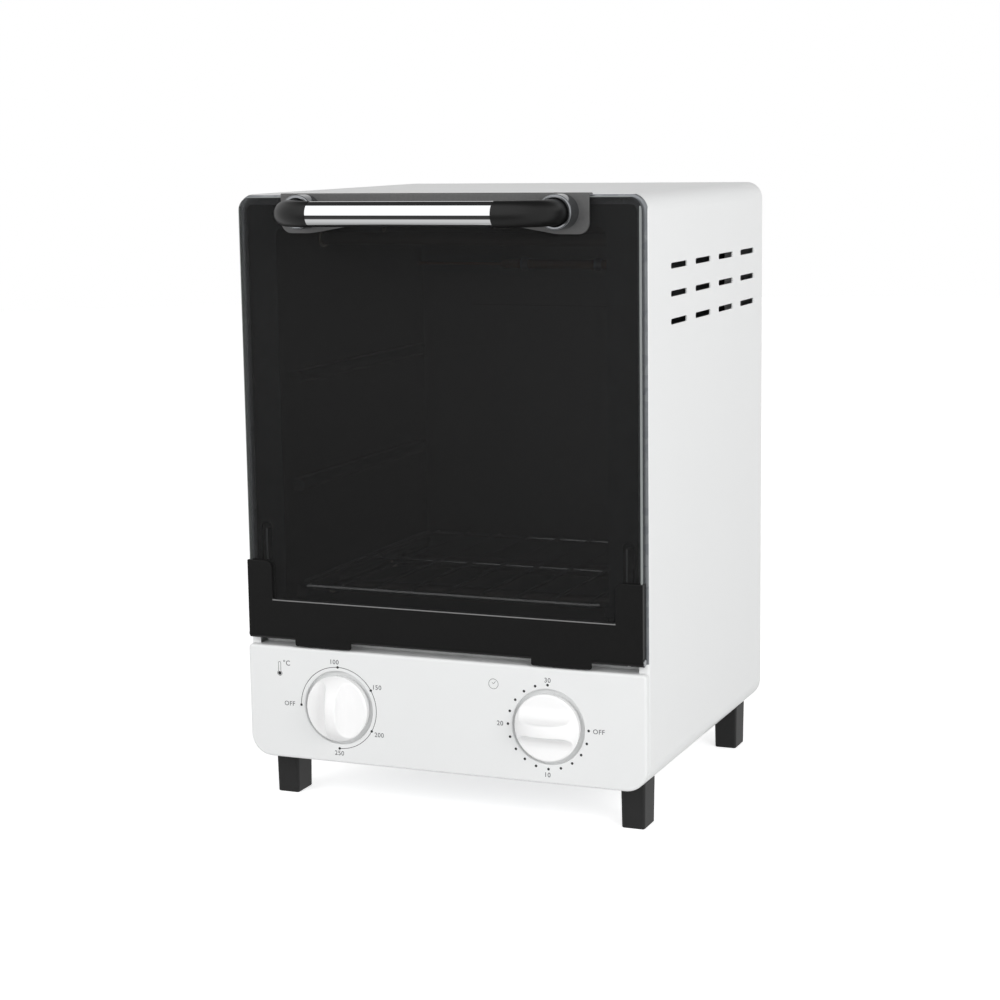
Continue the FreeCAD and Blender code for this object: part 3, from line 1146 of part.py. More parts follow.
def build_covers():
    """The rear cover with its vent slots and gland hole, and the base plate inside the floor's hem."""
    body = piece("rear_cover")
    edge = S.half - S.cover_margin
    sketch = facing_front(body, S.rear + S.cover_sheet)
    draw_box(sketch, -edge, S.floor + S.cover_margin, edge, S.top - S.cover_margin,
             S.casing_bend - S.cover_margin, S.crown_bend - S.cover_margin)
    extrude(body, sketch, S.cover_sheet)
    sketch = facing_front(body, S.rear)
    for across, height in rear_screw_places():
        draw_circle(sketch, across, height, S.screw_radius + S.fit_gap)
    draw_circle(sketch, S.gland_x, S.floor + S.gland_level, S.gland_radius + S.gland_wall + S.fit_gap)
    cut(body, sketch)
    for low, columns in ((S.top - S.vent_drop - S.vent_row_step * (S.cover_rows - 1), S.cover_columns_high),
                         (S.floor + S.cover_slot_low, S.cover_columns_low)):
        sketch = facing_front(body, S.rear)
        left = -S.cover_slot_start - S.cover_slot / 2
        corner = S.vent_slot * S.slot_rounding
        draw_box(sketch, left, low - S.vent_slot / 2, left + S.cover_slot, low + S.vent_slot / 2, corner, corner)
        slot = cut(body, sketch)
        repeat(body, slot, sketch, (S.cover_slot_step, columns), (S.vent_row_step, S.cover_rows))

    body = piece("base_plate")
    edge = S.half - S.casing_bend - S.base_side_gap
    low = S.floor + S.casing_sheet
    near = S.frame_front + S.hem_radius
    far = S.rear - S.casing_sheet * 2
    sketch = level_with(body, low)
    draw_box(sketch, -edge, near, edge, far)
    extrude(body, sketch, S.base_sheet)
    sketch = level_with(body, low + S.base_sheet)
    for across, deep in foot_places().values():
        draw_circle(sketch, across, deep, S.foot_screw_radius + S.fit_gap)
    for across, deep in base_screw_places():
        draw_circle(sketch, across, deep, S.screw_radius + S.fit_gap)
    cut(body, sketch)
    sketch = level_with(body, low + S.base_sheet)
    first = S.front + S.base_slot_start
    left = -S.base_slot_step * (S.base_slot_columns - 1) / 2 - S.vent_length / 2
    draw_box(sketch, left, first, left + S.vent_length, first + S.base_slot_width)
    slot = cut(body, sketch)
    repeat(body, slot, sketch, (S.base_slot_step, S.base_slot_columns), (S.vent_row_step, S.base_slot_rows))

    body = piece("cord_gland")
    sketch = level_with(body, S.floor + S.gland_level)
    side = S.gland_x
    wall = S.gland_radius + S.gland_wall
    inside = S.rear - S.casing_sheet - S.gland_inside
    outside = S.rear + S.cover_sheet
    draw_outline(sketch, [(side + S.gland_radius, inside), (side + wall, inside), (side + wall, outside),
                          (side + S.gland_collar, outside),
                          (side + S.gland_collar - S.gland_taper, outside + S.gland_stand, S.gland_edge),
                          (side + S.gland_radius, outside + S.gland_stand)])
    draw_axis(sketch, (side, inside), (side, outside))
    revolve(body, sketch)

    body = piece("terminal_block")
    sketch = level_with(body, low + S.base_sheet)
    middle = S.gland_x - S.terminal_side
    rear = S.rear - S.terminal_rear
    wide = S.terminal_width / 2
    draw_box(sketch, middle - wide, rear - S.terminal_depth, middle + wide, rear)
    extrude(body, sketch, S.terminal_height)
    sketch = level_with(body, low + S.base_sheet + S.terminal_height)
    for way in (-1, 0, 1):
        for row in (S.terminal_row, S.terminal_depth - S.terminal_row):
            draw_circle(sketch, middle + way * S.terminal_pitch, rear - row, S.terminal_well)
    cut(body, sketch, S.terminal_well_depth)


def screw(radius, length, head_radius, rise):
    """A pan head screw with a cross recess. The head's underside is at the origin, the shank below."""
    point = -length + radius * S.screw_point.value
    edge = rise * S.head_edge.value
    profile = [
        FreeCAD.Vector(0, 0, -length),
        FreeCAD.Vector(radius * S.screw_tip.value, 0, -length),
        FreeCAD.Vector(radius, 0, point),
        FreeCAD.Vector(radius, 0, 0),
        FreeCAD.Vector(head_radius, 0, 0),
        FreeCAD.Vector(head_radius, 0, edge),
    ]
    shoulder = FreeCAD.Vector(head_radius * S.head_shoulder.value, 0, rise * S.head_crown.value)
    top = FreeCAD.Vector(0, 0, rise)
    crown = Part.Arc(profile[-1], shoulder, top).toShape()
    runs = [Part.LineSegment(start, end).toShape() for start, end in zip(profile, profile[1:])]
    axis = Part.LineSegment(top, profile[0]).toShape()
    face = Part.Face(Part.Wire(runs + [crown, axis]))
    body = face.revolve(FreeCAD.Vector(0, 0, 0), FreeCAD.Vector(0, 0, 1), 360)
    bar = head_radius * S.recess_bar.value
    thin = head_radius * S.recess_width.value
    floor = rise * S.recess_floor.value
    for long, wide in ((bar, thin), (thin, bar)):
        body = body.cut(Part.makeBox(long, wide, rise, FreeCAD.Vector(-long / 2, -wide / 2, floor)))
    return body


def screw_group(name, master, places, turn):
    """One node with a screw at each place, all turned the same way."""
    copies = []
    for place in places:
        spot = FreeCAD.Vector(*(size(coordinate).value for coordinate in place))
        copies.append(master.transformGeometry(FreeCAD.Placement(spot, turn).toMatrix()))
    return solid(name, Part.makeCompound(copies))


def build_screws():
    sheet_screw = screw(S.screw_radius.value, S.screw_length.value, S.screw_head.value, S.screw_rise.value)
    foot_screw = screw(S.foot_screw_radius.value, (S.foot_height - S.foot_well_depth + S.foot_screw_bite).value,
                       (S.foot_well_radius - S.foot_screw_gap).value, S.foot_screw_rise.value)
    rearward = FreeCAD.Rotation(FreeCAD.Vector(1, 0, 0), -90)
    forward = FreeCAD.Rotation(FreeCAD.Vector(1, 0, 0), 90)
    downward = FreeCAD.Rotation(FreeCAD.Vector(1, 0, 0), 180)
    screw_group("rear_cover_screws", sheet_screw,
                [(across, S.rear + S.cover_sheet, height) for across, height in rear_screw_places()], rearward)
    screw_group("base_screws", sheet_screw,
                [(across, deep, S.floor) for across, deep in base_screw_places()], downward)
    screw_group("foot_screws", foot_screw,
                [(across, deep, S.foot_well_depth) for across, deep in foot_places().values()], downward)
    low = screw(S.screw_radius.value, S.screw_length.value, S.screw_head.value,
                (S.knob_float * S.low_head).value)
    screw_group("control_screws", low,
                [(side + way * S.control_screw_offset, S.dish_floor, S.knob_z)
                 for side in knob_sides().values() for way in (-1, 1)], forward)


def build_hinges():
    """On each side an eye that stands out of the frame's step, and the pin that turns in it."""
    for name, way in (("left", -1), ("right", 1)):
        body = piece(f"hinge_bracket_{name}")
        eye = way * S.eye_side
        wall = S.front + S.frame_step_depth
        sketch = facing_side(body, eye)
        draw_tongue(sketch, (S.hinge_y, S.hinge_z), S.eye_half, wall, upright=False)
        extrude(body, sketch, S.eye_sheet, both_ways=True)
        sketch = facing_front(body, wall)
        inner = eye - way * S.eye_foot
        outer = eye + way * S.eye_sheet / 2
        left, right = (inner, outer) if way > 0 else (outer, inner)
        draw_box(sketch, left, S.hinge_z - S.eye_foot_half, right, S.hinge_z + S.eye_foot_half)
        extrude(body, sketch, S.eye_sheet)
        sketch = facing_side(body, eye)
        draw_circle(sketch, S.hinge_y, S.hinge_z, S.pin_radius + S.pin_play)
        cut(body, sketch, S.eye_sheet * 2, both_ways=True)

        body = piece(f"hinge_pin_{name}")
        tip = way * (S.lug_side - S.bracket_sheet)
        head = way * S.bracket_half
        start, end = (tip, head) if way > 0 else (head, tip)
        sketch = facing_side(body, start)
        draw_circle(sketch, S.hinge_y, S.hinge_z, S.pin_radius)
        extrude(body, sketch, end - start)
        sketch = facing_side(body, head)
        draw_circle(sketch, S.hinge_y, S.hinge_z, S.pin_head)
        extrude(body, sketch, S.pin_head_height, backwards=way < 0)


def draw_channel(sketch, half, top):
    """The bracket's section: two leaves and a round bottom about the hinge axis."""
    draw_tongue(sketch, (S.hinge_y, S.hinge_z), half, top)


def build_door_bracket():
    """A channel folded round the glass's lower edge, with ears, tabs and closed ends."""
    body = piece("door_bracket")
    ear_top = S.floor + S.ear_level
    sketch = facing_side(body)
    draw_channel(sketch, S.channel_outer, ear_top)
    extrude(body, sketch, S.bracket_half * 2, both_ways=True)
    sketch = facing_side(body)
    draw_channel(sketch, S.channel, ear_top + S.swing_gap)
    cut(body, sketch, (S.bracket_half - S.bracket_sheet) * 2, both_ways=True)
    ear = S.bracket_half - S.ear_width
    sketch = facing_front(body, S.hinge_y - S.channel_outer)
    draw_box(sketch, -ear, S.floor + S.bar_level, ear, ear_top + S.swing_gap, S.ear_nook)
    cut(body, sketch)
    round_edges(body, S.ear_corner, lambda edge: lies_at(edge, "Z", ear_top)
                and (lies_at(edge, "X", ear) or lies_at(edge, "X", -ear)))
    round_edges(body, S.bracket_edge, lambda edge: lies_at(edge, "Y", S.hinge_y - S.channel_outer)
                and (lies_at(edge, "Z", ear_top) or lies_at(edge, "Z", S.floor + S.bar_level)))
    sketch = facing_front(body, S.hinge_y - S.channel)
    tab_low = S.hinge_z - S.channel_outer - S.tab_drop
    outer = S.bracket_half - S.tab_inset
    inner = outer - S.tab_width
    draw_box(sketch, inner, tab_low, outer, S.hinge_z, S.tab_corner)
    draw_box(sketch, -outer, tab_low, -inner, S.hinge_z, S.tab_corner)
    extrude(body, sketch, S.bracket_sheet)
    for way in (-1, 1):
        lug = facing_side(body, way * S.lug_side)
        draw_channel(lug, S.channel, S.hinge_z + S.channel * 2)
        extrude(body, lug, S.bracket_sheet, both_ways=True)
    bores = facing_side(body)
    draw_circle(bores, S.hinge_y, S.hinge_z, S.pin_radius + S.pin_play / 2)
    cut(body, bores, None, both_ways=True)
    for way in (-1, 1):
        notch = facing_side(body, way * S.eye_side)
        draw_box(notch, S.hinge_y - S.channel, S.hinge_z - S.channel_outer - S.swing_gap,
                 S.hinge_y + S.channel_outer + S.swing_gap, S.hinge_z + S.eye_half + S.swing_gap)
        cut(body, notch, S.eye_sheet + S.swing_gap * 2, both_ways=True)


def build_door():
    """The glass, its handle plate and the bar handle on two legs."""
    build_glass()
    build_handle_plate()
    build_handle()
    build_stay_arms()


def build_glass():
    body = piece("door_glass")
    sketch = facing_front(body, S.glass_back)
    draw_box(sketch, -S.glass_half, S.floor + S.glass_foot, S.glass_half, S.glass_top, None, S.glass_corner)
    extrude(body, sketch, S.glass_thickness)
    sketch = facing_front(body, S.glass_face)
    for way in (-1, 1):
        draw_circle(sketch, way * S.leg_x, S.handle_z, S.glass_hole)
    cut(body, sketch)


def build_handle_plate():
    """A sheet folded over the glass's top edge, with two tongues down the back for the handle's screws."""
    body = piece("handle_plate")
    edge = S.plate_half
    plate_top = S.glass_top + S.plate_rise
    lobe = S.top - S.plate_lobe_drop
    waist = S.top - S.plate_waist_drop
    lobe_x = edge - S.plate_lobe_inset
    waist_x = edge - S.plate_waist_inset
    sketch = facing_front(body, S.plate_front + S.plate_sheet)
    draw_outline(sketch, [(-edge, lobe, S.plate_corner), (-lobe_x, lobe, S.plate_sweep),
                          (-waist_x, waist, S.plate_sweep), (waist_x, waist, S.plate_sweep),
                          (lobe_x, lobe, S.plate_sweep), (edge, lobe, S.plate_corner),
                          (edge, plate_top), (-edge, plate_top)])
    extrude(body, sketch, S.plate_sheet)
    tongue_face = S.glass_back + S.glass_fit
    tongue_rear = tongue_face + S.plate_sheet
    sketch = facing_front(body, tongue_rear)
    draw_box(sketch, -edge, plate_top - S.plate_sheet, edge, plate_top)
    extrude(body, sketch, tongue_rear - S.plate_front)
    sketch = facing_front(body, tongue_rear)
    for way in (-1, 1):
        draw_box(sketch, way * S.leg_x - S.plate_tongue / 2, waist, way * S.leg_x + S.plate_tongue / 2,
                 plate_top, S.tongue_corner)
    extrude(body, sketch, S.plate_sheet)
    round_edges(body, S.plate_fold, lambda edge: lies_at(edge, "Z", plate_top)
                and (lies_at(edge, "Y", S.plate_front) or lies_at(edge, "Y", tongue_rear)))
    for start, radius in ((S.plate_front, S.handle_screw + S.fit_gap), (tongue_face, S.glass_hole)):
        sketch = facing_front(body, start)
        for way in (-1, 1):
            draw_circle(sketch, way * S.leg_x, S.handle_z, radius)
        cut(body, sketch)


def build_handle():
    """Collars and elbows on the plate, a bright tube between them, and a screw from behind into each elbow."""
    for name, way in (("left", -1), ("right", 1)):
        body = piece(f"handle_collar_{name}")
        sketch = level_with(body, S.handle_z)
        inside = way * S.leg_x + S.elbow_radius + S.fit_gap
        draw_outline(sketch, [(inside, S.plate_front), (way * S.leg_x + S.collar_radius, S.plate_front),
                              (way * S.leg_x + S.collar_radius, S.plate_front - S.collar_length, S.collar_edge),
                              (inside, S.plate_front - S.collar_length, S.collar_edge)])
        draw_axis(sketch, (way * S.leg_x, S.plate_front), (way * S.leg_x, S.handle_y))
        revolve(body, sketch)

        body = piece(f"handle_elbow_{name}")
        path = level_with(body, S.handle_z)
        draw_bend(path, [(way * S.leg_x, S.plate_front), (way * S.leg_x, S.handle_y, S.handle_bend),
                              (way * (S.bar_half - S.elbow_lap), S.handle_y)])
        section = facing_front(body, S.plate_front)
        draw_circle(section, way * S.leg_x, S.handle_z, S.elbow_radius)
        pipe = doc.addObject("PartDesign::AdditivePipe", "Pipe")
        pipe.Profile = section
        pipe.Spine = (path, [])
        join(body, pipe)
        sketch = facing_side(body, way * (S.bar_half - S.elbow_lap))
        draw_circle(sketch, S.handle_y, S.handle_z, S.tube_radius - S.tube_wall - S.fit_gap)
        extrude(body, sketch, S.spigot_length, backwards=way > 0)
        sketch = facing_front(body, S.plate_front - S.handle_screw_length)
        draw_circle(sketch, way * S.leg_x, S.handle_z, S.handle_screw + S.shaft_play)
        cut(body, sketch)

    body = piece("handle_tube")
    for radius, hollow in ((S.tube_radius, False), (S.tube_radius - S.tube_wall, True)):
        sketch = facing_side(body)
        draw_circle(sketch, S.handle_y, S.handle_z, radius)
        if hollow:
            cut(body, sketch, None, both_ways=True)
        else:
            extrude(body, sketch, (S.bar_half - S.elbow_lap - S.fit_gap) * 2, both_ways=True)

    fixing = screw(S.handle_screw.value, S.handle_screw_length.value, S.handle_screw_head.value,
                   S.handle_screw_rise.value)
    head_to_rear = FreeCAD.Rotation(FreeCAD.Vector(1, 0, 0), -90)
    screw_group("handle_screws", fixing,
                [(way * S.leg_x, S.plate_front + S.plate_sheet, S.handle_z) for way in (-1, 1)], head_to_rear)


def around_hinge(radius, angle):
    """A place about the hinge axis, at an angle that runs from straight up towards the rear."""
    return (S.hinge_y + radius * sine(angle), S.hinge_z + radius * cosine(angle))


def build_stay_arms():
    """Curved arms about the hinge: they ride on the door and stop it when it lies level."""
    arm_front = S.hinge_y + S.channel_outer
    for name, way in (("left", -1), ("right", 1)):
        body = piece(f"stay_arm_{name}")
        side = way * S.stay_side
        sketch = facing_front(body, S.hinge_y)
        draw_box(sketch, side - S.stay_sheet / 2, S.hinge_z + S.stay_inner, side + S.stay_sheet / 2,
                 S.hinge_z + S.stay_outer)
        draw_axis(sketch, (side - S.stay_sheet, S.hinge_z), (side + S.stay_sheet, S.hinge_z))
        revolve(body, sketch, S.stay_sweep, backwards=True)
        sketch = facing_side(body, side)
        overlap = S.stay_outer - S.stop_overlap
        draw_outline(sketch, [around_hinge(overlap, S.stay_stop_angle), around_hinge(S.stay_stop, S.stay_stop_angle),
                              around_hinge(S.stay_stop, S.stay_sweep), around_hinge(overlap, S.stay_sweep)])
        extrude(body, sketch, S.stay_sheet, both_ways=True)
        sketch = facing_side(body, side)
        foot_low = S.floor + S.bar_level + S.stay_foot_low
        draw_outline(sketch, [(arm_front, foot_low), (arm_front + S.stay_foot_reach, foot_low),
                              (arm_front + S.stay_foot_root, S.hinge_z + S.stay_inner + S.stop_overlap),
                              (arm_front, S.hinge_z + S.stay_outer - S.stay_sheet)])
        extrude(body, sketch, S.stay_sheet, both_ways=True)
        sketch = facing_side(body, side)
        draw_box(sketch, S.hinge_y - S.stay_foot_root, S.hinge_z, arm_front, S.hinge_z + S.stay_stop)
        cut(body, sketch, S.stay_sheet * 2, both_ways=True)
        flange = way * (S.stay_side + S.stay_flange)
        left, right = (side, flange) if way > 0 else (flange, side)
        sketch = facing_front(body, arm_front + S.bracket_sheet)
        draw_box(sketch, left, foot_low, right, S.floor + S.ear_level - S.stay_flange_drop)
        extrude(body, sketch, S.bracket_sheet)


def build_all():
    build_outer_casing()
    build_control_panel()
    build_front_frame()
    build_cavity()
    build_rack()
    build_heaters()
    build_bulb()
    build_controls()
    build_knobs()
    build_feet()
    build_covers()
    build_screws()
    build_hinges()
    build_door_bracket()
    build_door()


def write_pieces():
    """Checks every object of the document and writes each sub-part to its own file."""
    doc.recompute()
    for item in doc.Objects:
        if "Invalid" in item.State or "Error" in item.State:
            raise RuntimeError(f"{item.Label} failed")
    os.makedirs("parts", exist_ok=True)
    for item in pieces:
        if item.Shape.isNull() or not item.Shape.isValid():
            raise RuntimeError(f"{item.Label} has no sound shape")
        item.Shape.exportStep(f"parts/{item.Label}.step")


build_all()
write_pieces()
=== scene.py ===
"""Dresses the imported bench-top sterilizer: a finish for every node, the printed dials and the studio.

Lengths are in metres in the row frame: X to the right seen from the front, the door faces -Y, Z up.
"""
import logging
import math
from collections.abc import Callable
from dataclasses import dataclass
from enum import Enum

import bpy
import numpy as np
from mathutils import Matrix, Vector


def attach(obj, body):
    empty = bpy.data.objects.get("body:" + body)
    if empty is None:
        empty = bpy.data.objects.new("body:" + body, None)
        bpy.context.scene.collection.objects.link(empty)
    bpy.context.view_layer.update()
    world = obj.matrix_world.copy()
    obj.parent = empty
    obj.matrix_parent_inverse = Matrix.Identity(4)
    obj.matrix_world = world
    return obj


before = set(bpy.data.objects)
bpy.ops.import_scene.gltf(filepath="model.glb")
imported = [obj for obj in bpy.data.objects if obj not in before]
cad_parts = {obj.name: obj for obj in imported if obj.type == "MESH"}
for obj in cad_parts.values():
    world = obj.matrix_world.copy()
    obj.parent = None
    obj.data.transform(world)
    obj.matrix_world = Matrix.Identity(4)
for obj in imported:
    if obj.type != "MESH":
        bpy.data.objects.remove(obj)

LOG = logging.getLogger("sterilizer")
MM = 0.001
MIX_FIRST, MIX_SECOND, MIX_RESULT = 6, 7, 2  # the Mix node's colour sockets

Spot = tuple[float, float]
Place = tuple[float, float, float]
Stops = tuple[tuple[float, float], ...]


# Shapes

LETTER_SPACING = 1.08
INK_SPREAD = 0.004  # in letter heights
LETTER_DEPTH = 0.01  # in letter heights
LETTER_STEPS = 4


@dataclass
class Surface:
    """Points and faces of a piece.

    Args:
        points: coordinates in metres, one row a point.
        faces: rings of point numbers, each wound anticlockwise seen from outside.
    """

    points: np.ndarray
    faces: list[list[int]]

    @staticmethod
    def joined(parts: list["Surface"]) -> "Surface":
        """Puts several surfaces into one."""
        offsets = np.cumsum([0] + [len(part.points) for part in parts])
        faces = [[corner + int(offset) for corner in face]
                 for part, offset in zip(parts, offsets) for face in part.faces]
        return Surface(np.vstack([part.points for part in parts]), faces)

    def make_object(self, name: str) -> bpy.types.Object:
        """Puts the surface into a new mesh object at the origin.

        Args:
            name: the object's name.
        Returns:
            The object, linked to the scene.
        """
        mesh = bpy.data.meshes.new(name)
        mesh.from_pydata(self.points.tolist(), [], self.faces)
        mesh.validate()
        made = bpy.data.objects.new(name, mesh)
        bpy.context.scene.collection.objects.link(made)
        return made


def prism(outline: np.ndarray, face: float, thickness: float) -> Surface:
    """A thin upright plate: the outline in X and Z, closed towards -Y at `face` and behind it.

    Args:
        outline: corners (x, z), anticlockwise seen from the front.
        face: y of the front.
        thickness: from front to rear.
    Returns:
        The closed surface.
    """
    count = len(outline)
    near = np.column_stack([outline[:, 0], np.full(count, face), outline[:, 1]])
    far = near + np.array([0.0, thickness, 0.0])
    ring = np.arange(count)
    after = np.roll(ring, -1)
    sides = np.column_stack([ring, ring + count, after + count, after])
    faces = [ring.tolist(), (ring[::-1] + count).tolist()] + sides.tolist()
    return Surface(np.vstack([near, far]), faces)


def circle(centre: Spot, radius: float, count: int = 32) -> np.ndarray:
    """Corners of a round outline: the centre plus the radius times the cosine and sine of even angles."""
    angle = np.linspace(0, 2 * math.pi, count, endpoint=False)
    return np.column_stack([centre[0] + radius * np.cos(angle), centre[1] + radius * np.sin(angle)])


def arc_band(centre: Spot, radius: float, width: float, start: float, stop: float,
             count: int = 96) -> np.ndarray:
    """A band along an arc: its outer edge one way, then its inner edge back.

    Args:
        centre: middle of the arc (x, z).
        radius: of the band's middle line.
        width: of the band.
        start: angle in degrees, anticlockwise from +X.
        stop: angle in degrees, above the start.
        count: corners along each edge.
    Returns:
        Corners of the outline.
    """
    angle = np.radians(np.linspace(start, stop, count))
    ray = np.column_stack([np.cos(angle), np.sin(angle)])
    outer = np.array(centre) + ray * (radius + width / 2)
    inner = np.array(centre) + ray[::-1] * (radius - width / 2)
    return np.vstack([outer, inner])


def bar(start: Spot, stop: Spot, width: float) -> np.ndarray:
    """A straight stroke: its two ends moved half its width to either side."""
    first, last = np.array(start), np.array(stop)
    along = (last - first) / np.linalg.norm(last - first)
    aside = np.array([-along[1], along[0]]) * width / 2
    return np.array([first - aside, last - aside, last + aside, first + aside])


def lettering(text: str, centre: Spot, height: float, face: float, thickness: float) -> Surface:
    """Printed characters as thin raised ink.

    The characters are set a little apart, and their outline is moved out by the ink's spread. Their own depth
    only parts the front from the rear and is then set to the thickness.

    Args:
        text: what is printed.
        centre: its middle (x, z).
        height: of a capital letter.
        face: y of the ink's front.
        thickness: of the ink.
    Returns:
        The surface of all the characters.
    """
    curve = bpy.data.curves.new("ink", "FONT")
    curve.body = text
    curve.size = 1.0
    curve.space_character = LETTER_SPACING
    curve.offset = INK_SPREAD
    curve.extrude = LETTER_DEPTH
    curve.resolution_u = LETTER_STEPS
    source = bpy.data.objects.new("ink", curve)
    bpy.context.scene.collection.objects.link(source)
    bpy.context.view_layer.update()
    mesh = source.evaluated_get(bpy.context.evaluated_depsgraph_get()).to_mesh()
    points = np.empty(len(mesh.vertices) * 3)
    mesh.vertices.foreach_get("co", points)
    points = points.reshape(-1, 3)
    faces = [list(polygon.vertices) for polygon in mesh.polygons]
    bpy.data.objects.remove(source)
    bpy.data.curves.remove(curve)
    low, high = points.min(axis=0), points.max(axis=0)
    scale = height / (high[1] - low[1])
    middle = (low + high) / 2
    placed = np.column_stack([
        centre[0] + (points[:, 0] - middle[0]) * scale,
        np.where(points[:, 2] > 0, face, face + thickness),
        centre[1] + (points[:, 1] - middle[1]) * scale,
    ])
    return Surface(placed, faces)


# Finishes

def to_linear(shade: str) -> tuple[float, float, float, float]:
    """Turns an sRGB hex colour into the linear values that the shader takes."""
    channels = [int(shade[place:place + 2], 16) / 255 for place in (1, 3, 5)]
    linear = [value / 12.92 if value <= 0.04045 else ((value + 0.055) / 1.055) ** 2.4 for value in channels]
    return (*linear, 1.0)


def add_node(tree: bpy.types.NodeTree, kind: str, settings: dict | None = None,
             links: dict | None = None) -> bpy.types.Node:
    """Adds a node with its settings and links.

    Args:
        tree: the node tree.
        kind: the node's type name.
        settings: attributes by name, or input values by a name that the node has as a socket.
        links: output sockets by the input's name or number.
    Returns:
        The node.
    """
    node = tree.nodes.new(kind)
    for name, value in (settings or {}).items():
        if isinstance(name, int) or name in node.inputs:
            node.inputs[name].default_value = value
        else:
            setattr(node, name, value)
    for name, output in (links or {}).items():
        tree.links.new(output, node.inputs[name])
    return node


def build_material(name: str,
                   surface: Callable[[bpy.types.NodeTree], bpy.types.NodeSocket]) -> bpy.types.Material:
    """Makes a material.

    Args:
        name: the material's name.
        surface: adds the nodes to an empty tree and gives the shader's output.
    Returns:
        The material.
    """
    material = bpy.data.materials.new(name)
    material.use_nodes = True
    tree = material.node_tree
    tree.nodes.clear()
    add_node(tree, "ShaderNodeOutputMaterial", None, {"Surface": surface(tree)})
    return material


def within_box(tree: bpy.types.NodeTree, low: Place, high: Place) -> bpy.types.NodeSocket:
    """A value that is 1 inside a box and 0 outside it.

    The distance from the box's middle over its half size stays below 1 on all three axes inside the box.

    Args:
        tree: the node tree.
        low: the box's lowest corner, in metres on the piece's own coordinates.
        high: its highest corner.
    Returns:
        The value's output.
    """
    middle = tuple((least + most) / 2 for least, most in zip(low, high))
    half = tuple((most - least) / 2 for least, most in zip(low, high))
    value = add_node(tree, "ShaderNodeTexCoord").outputs["Object"]
    for operation, other in (("SUBTRACT", middle), ("DIVIDE", half), ("ABSOLUTE", (0.0, 0.0, 0.0))):
        value = add_node(tree, "ShaderNodeVectorMath", {"operation": operation, 1: other}, {0: value}).outputs[0]
    sides = add_node(tree, "ShaderNodeSeparateXYZ", None, {"Vector": value}).outputs
    widest = add_node(tree, "ShaderNodeMath", {"operation": "MAXIMUM"}, {0: sides["X"], 1: sides["Y"]})
    widest = add_node(tree, "ShaderNodeMath", {"operation": "MAXIMUM"}, {0: widest.outputs[0], 1: sides["Z"]})
    return add_node(tree, "ShaderNodeMath", {"operation": "LESS_THAN", 1: 1.0}, {0: widest.outputs[0]}).outputs[0]


class Texture(Enum):
    """How the surface was made, which sets its pattern."""

    MOULDED = "fine spark-eroded grain of a mould"
    ORANGE_PEEL = "low ripple of sprayed and baked paint"
    SPANGLE = "crystals of hot-dip zinc"
    DRAWN = "fine lines along the sheet or tube"
    HEAT_TINT = "straw and blue clouds of steel that has been red hot"


NOISE_DETAIL = {Texture.MOULDED: 2.0, Texture.ORANGE_PEEL: 0.0, Texture.DRAWN: 3.0, Texture.HEAT_TINT: 1.5}


@dataclass(frozen=True)
class Coating:
    """Anything that covers a piece: it has the material's name and adds the shader."""

    name: str

    def surface(self, tree: bpy.types.NodeTree) -> bpy.types.NodeSocket:
        """Adds the nodes to the tree and gives the shader's output."""
        raise NotImplementedError

    def build(self) -> bpy.types.Material:
        """Builds the material."""
        return build_material(self.name, self.surface)


@dataclass(frozen=True)
class Finish(Coating):
    """One finish: its colours, its gloss and its pattern, with the pattern's size in real millimetres.

    The colour and the shade lie at the pattern's two ends, and so do the two values of the roughness.
    """

    colour: str
    shade: str
    texture: Texture
    grain_mm: float
    depth_mm: float
    roughness: tuple[float, float]
    metallic: float = 0.0
    coat: float = 0.0
    specular: float = 0.5
    stretch: Place = (1.0, 1.0, 1.0)
    coat_roughness: float = 0.08

    def pattern(self, tree: bpy.types.NodeTree) -> bpy.types.NodeSocket:
        """The pattern's value from 0 to 1, on the piece's own coordinates."""
        place = add_node(tree, "ShaderNodeTexCoord").outputs["Object"]
        turned = add_node(tree, "ShaderNodeMapping", {"Scale": self.stretch}, {"Vector": place}).outputs["Vector"]
        scale = 1.0 / (self.grain_mm * MM)
        if self.texture is Texture.SPANGLE:
            cells = add_node(tree, "ShaderNodeTexVoronoi", {"Scale": scale, "Randomness": 1.0}, {"Vector": turned})
            return add_node(tree, "ShaderNodeSeparateColor", None, {"Color": cells.outputs["Color"]}).outputs["Red"]
        noise = add_node(tree, "ShaderNodeTexNoise", {"Scale": scale, "Detail": NOISE_DETAIL[self.texture]},
                         {"Vector": turned})
        return noise.outputs["Fac"]

    def surface(self, tree: bpy.types.NodeTree) -> bpy.types.NodeSocket:
        """The finish's shader: the pattern moves the height, and the colour and gloss where their ends differ.

        Args:
            tree: the node tree.
        Returns:
            The shader's output.
        """
        value = self.pattern(tree)
        bump = add_node(tree, "ShaderNodeBump", {"Strength": 1.0, "Distance": self.depth_mm * MM},
                        {"Height": value})
        settings = {"Metallic": self.metallic, "Coat Weight": self.coat, "Coat Roughness": self.coat_roughness,
                    "Specular IOR Level": self.specular}
        links = {"Normal": bump.outputs["Normal"]}
        first, second = to_linear(self.colour), to_linear(self.shade)
        if first == second:
            settings["Base Color"] = first
        else:
            ends = {"data_type": "RGBA", MIX_FIRST: first, MIX_SECOND: second}
            links["Base Color"] = add_node(tree, "ShaderNodeMix", ends, {0: value}).outputs[MIX_RESULT]
        smooth, rough = self.roughness
        if smooth == rough:
            settings["Roughness"] = smooth
        else:
            gloss = add_node(tree, "ShaderNodeMapRange", {"To Min": smooth, "To Max": rough}, {"Value": value})
            links["Roughness"] = gloss.outputs["Result"]
        return add_node(tree, "ShaderNodeBsdfPrincipled", settings, links).outputs["BSDF"]


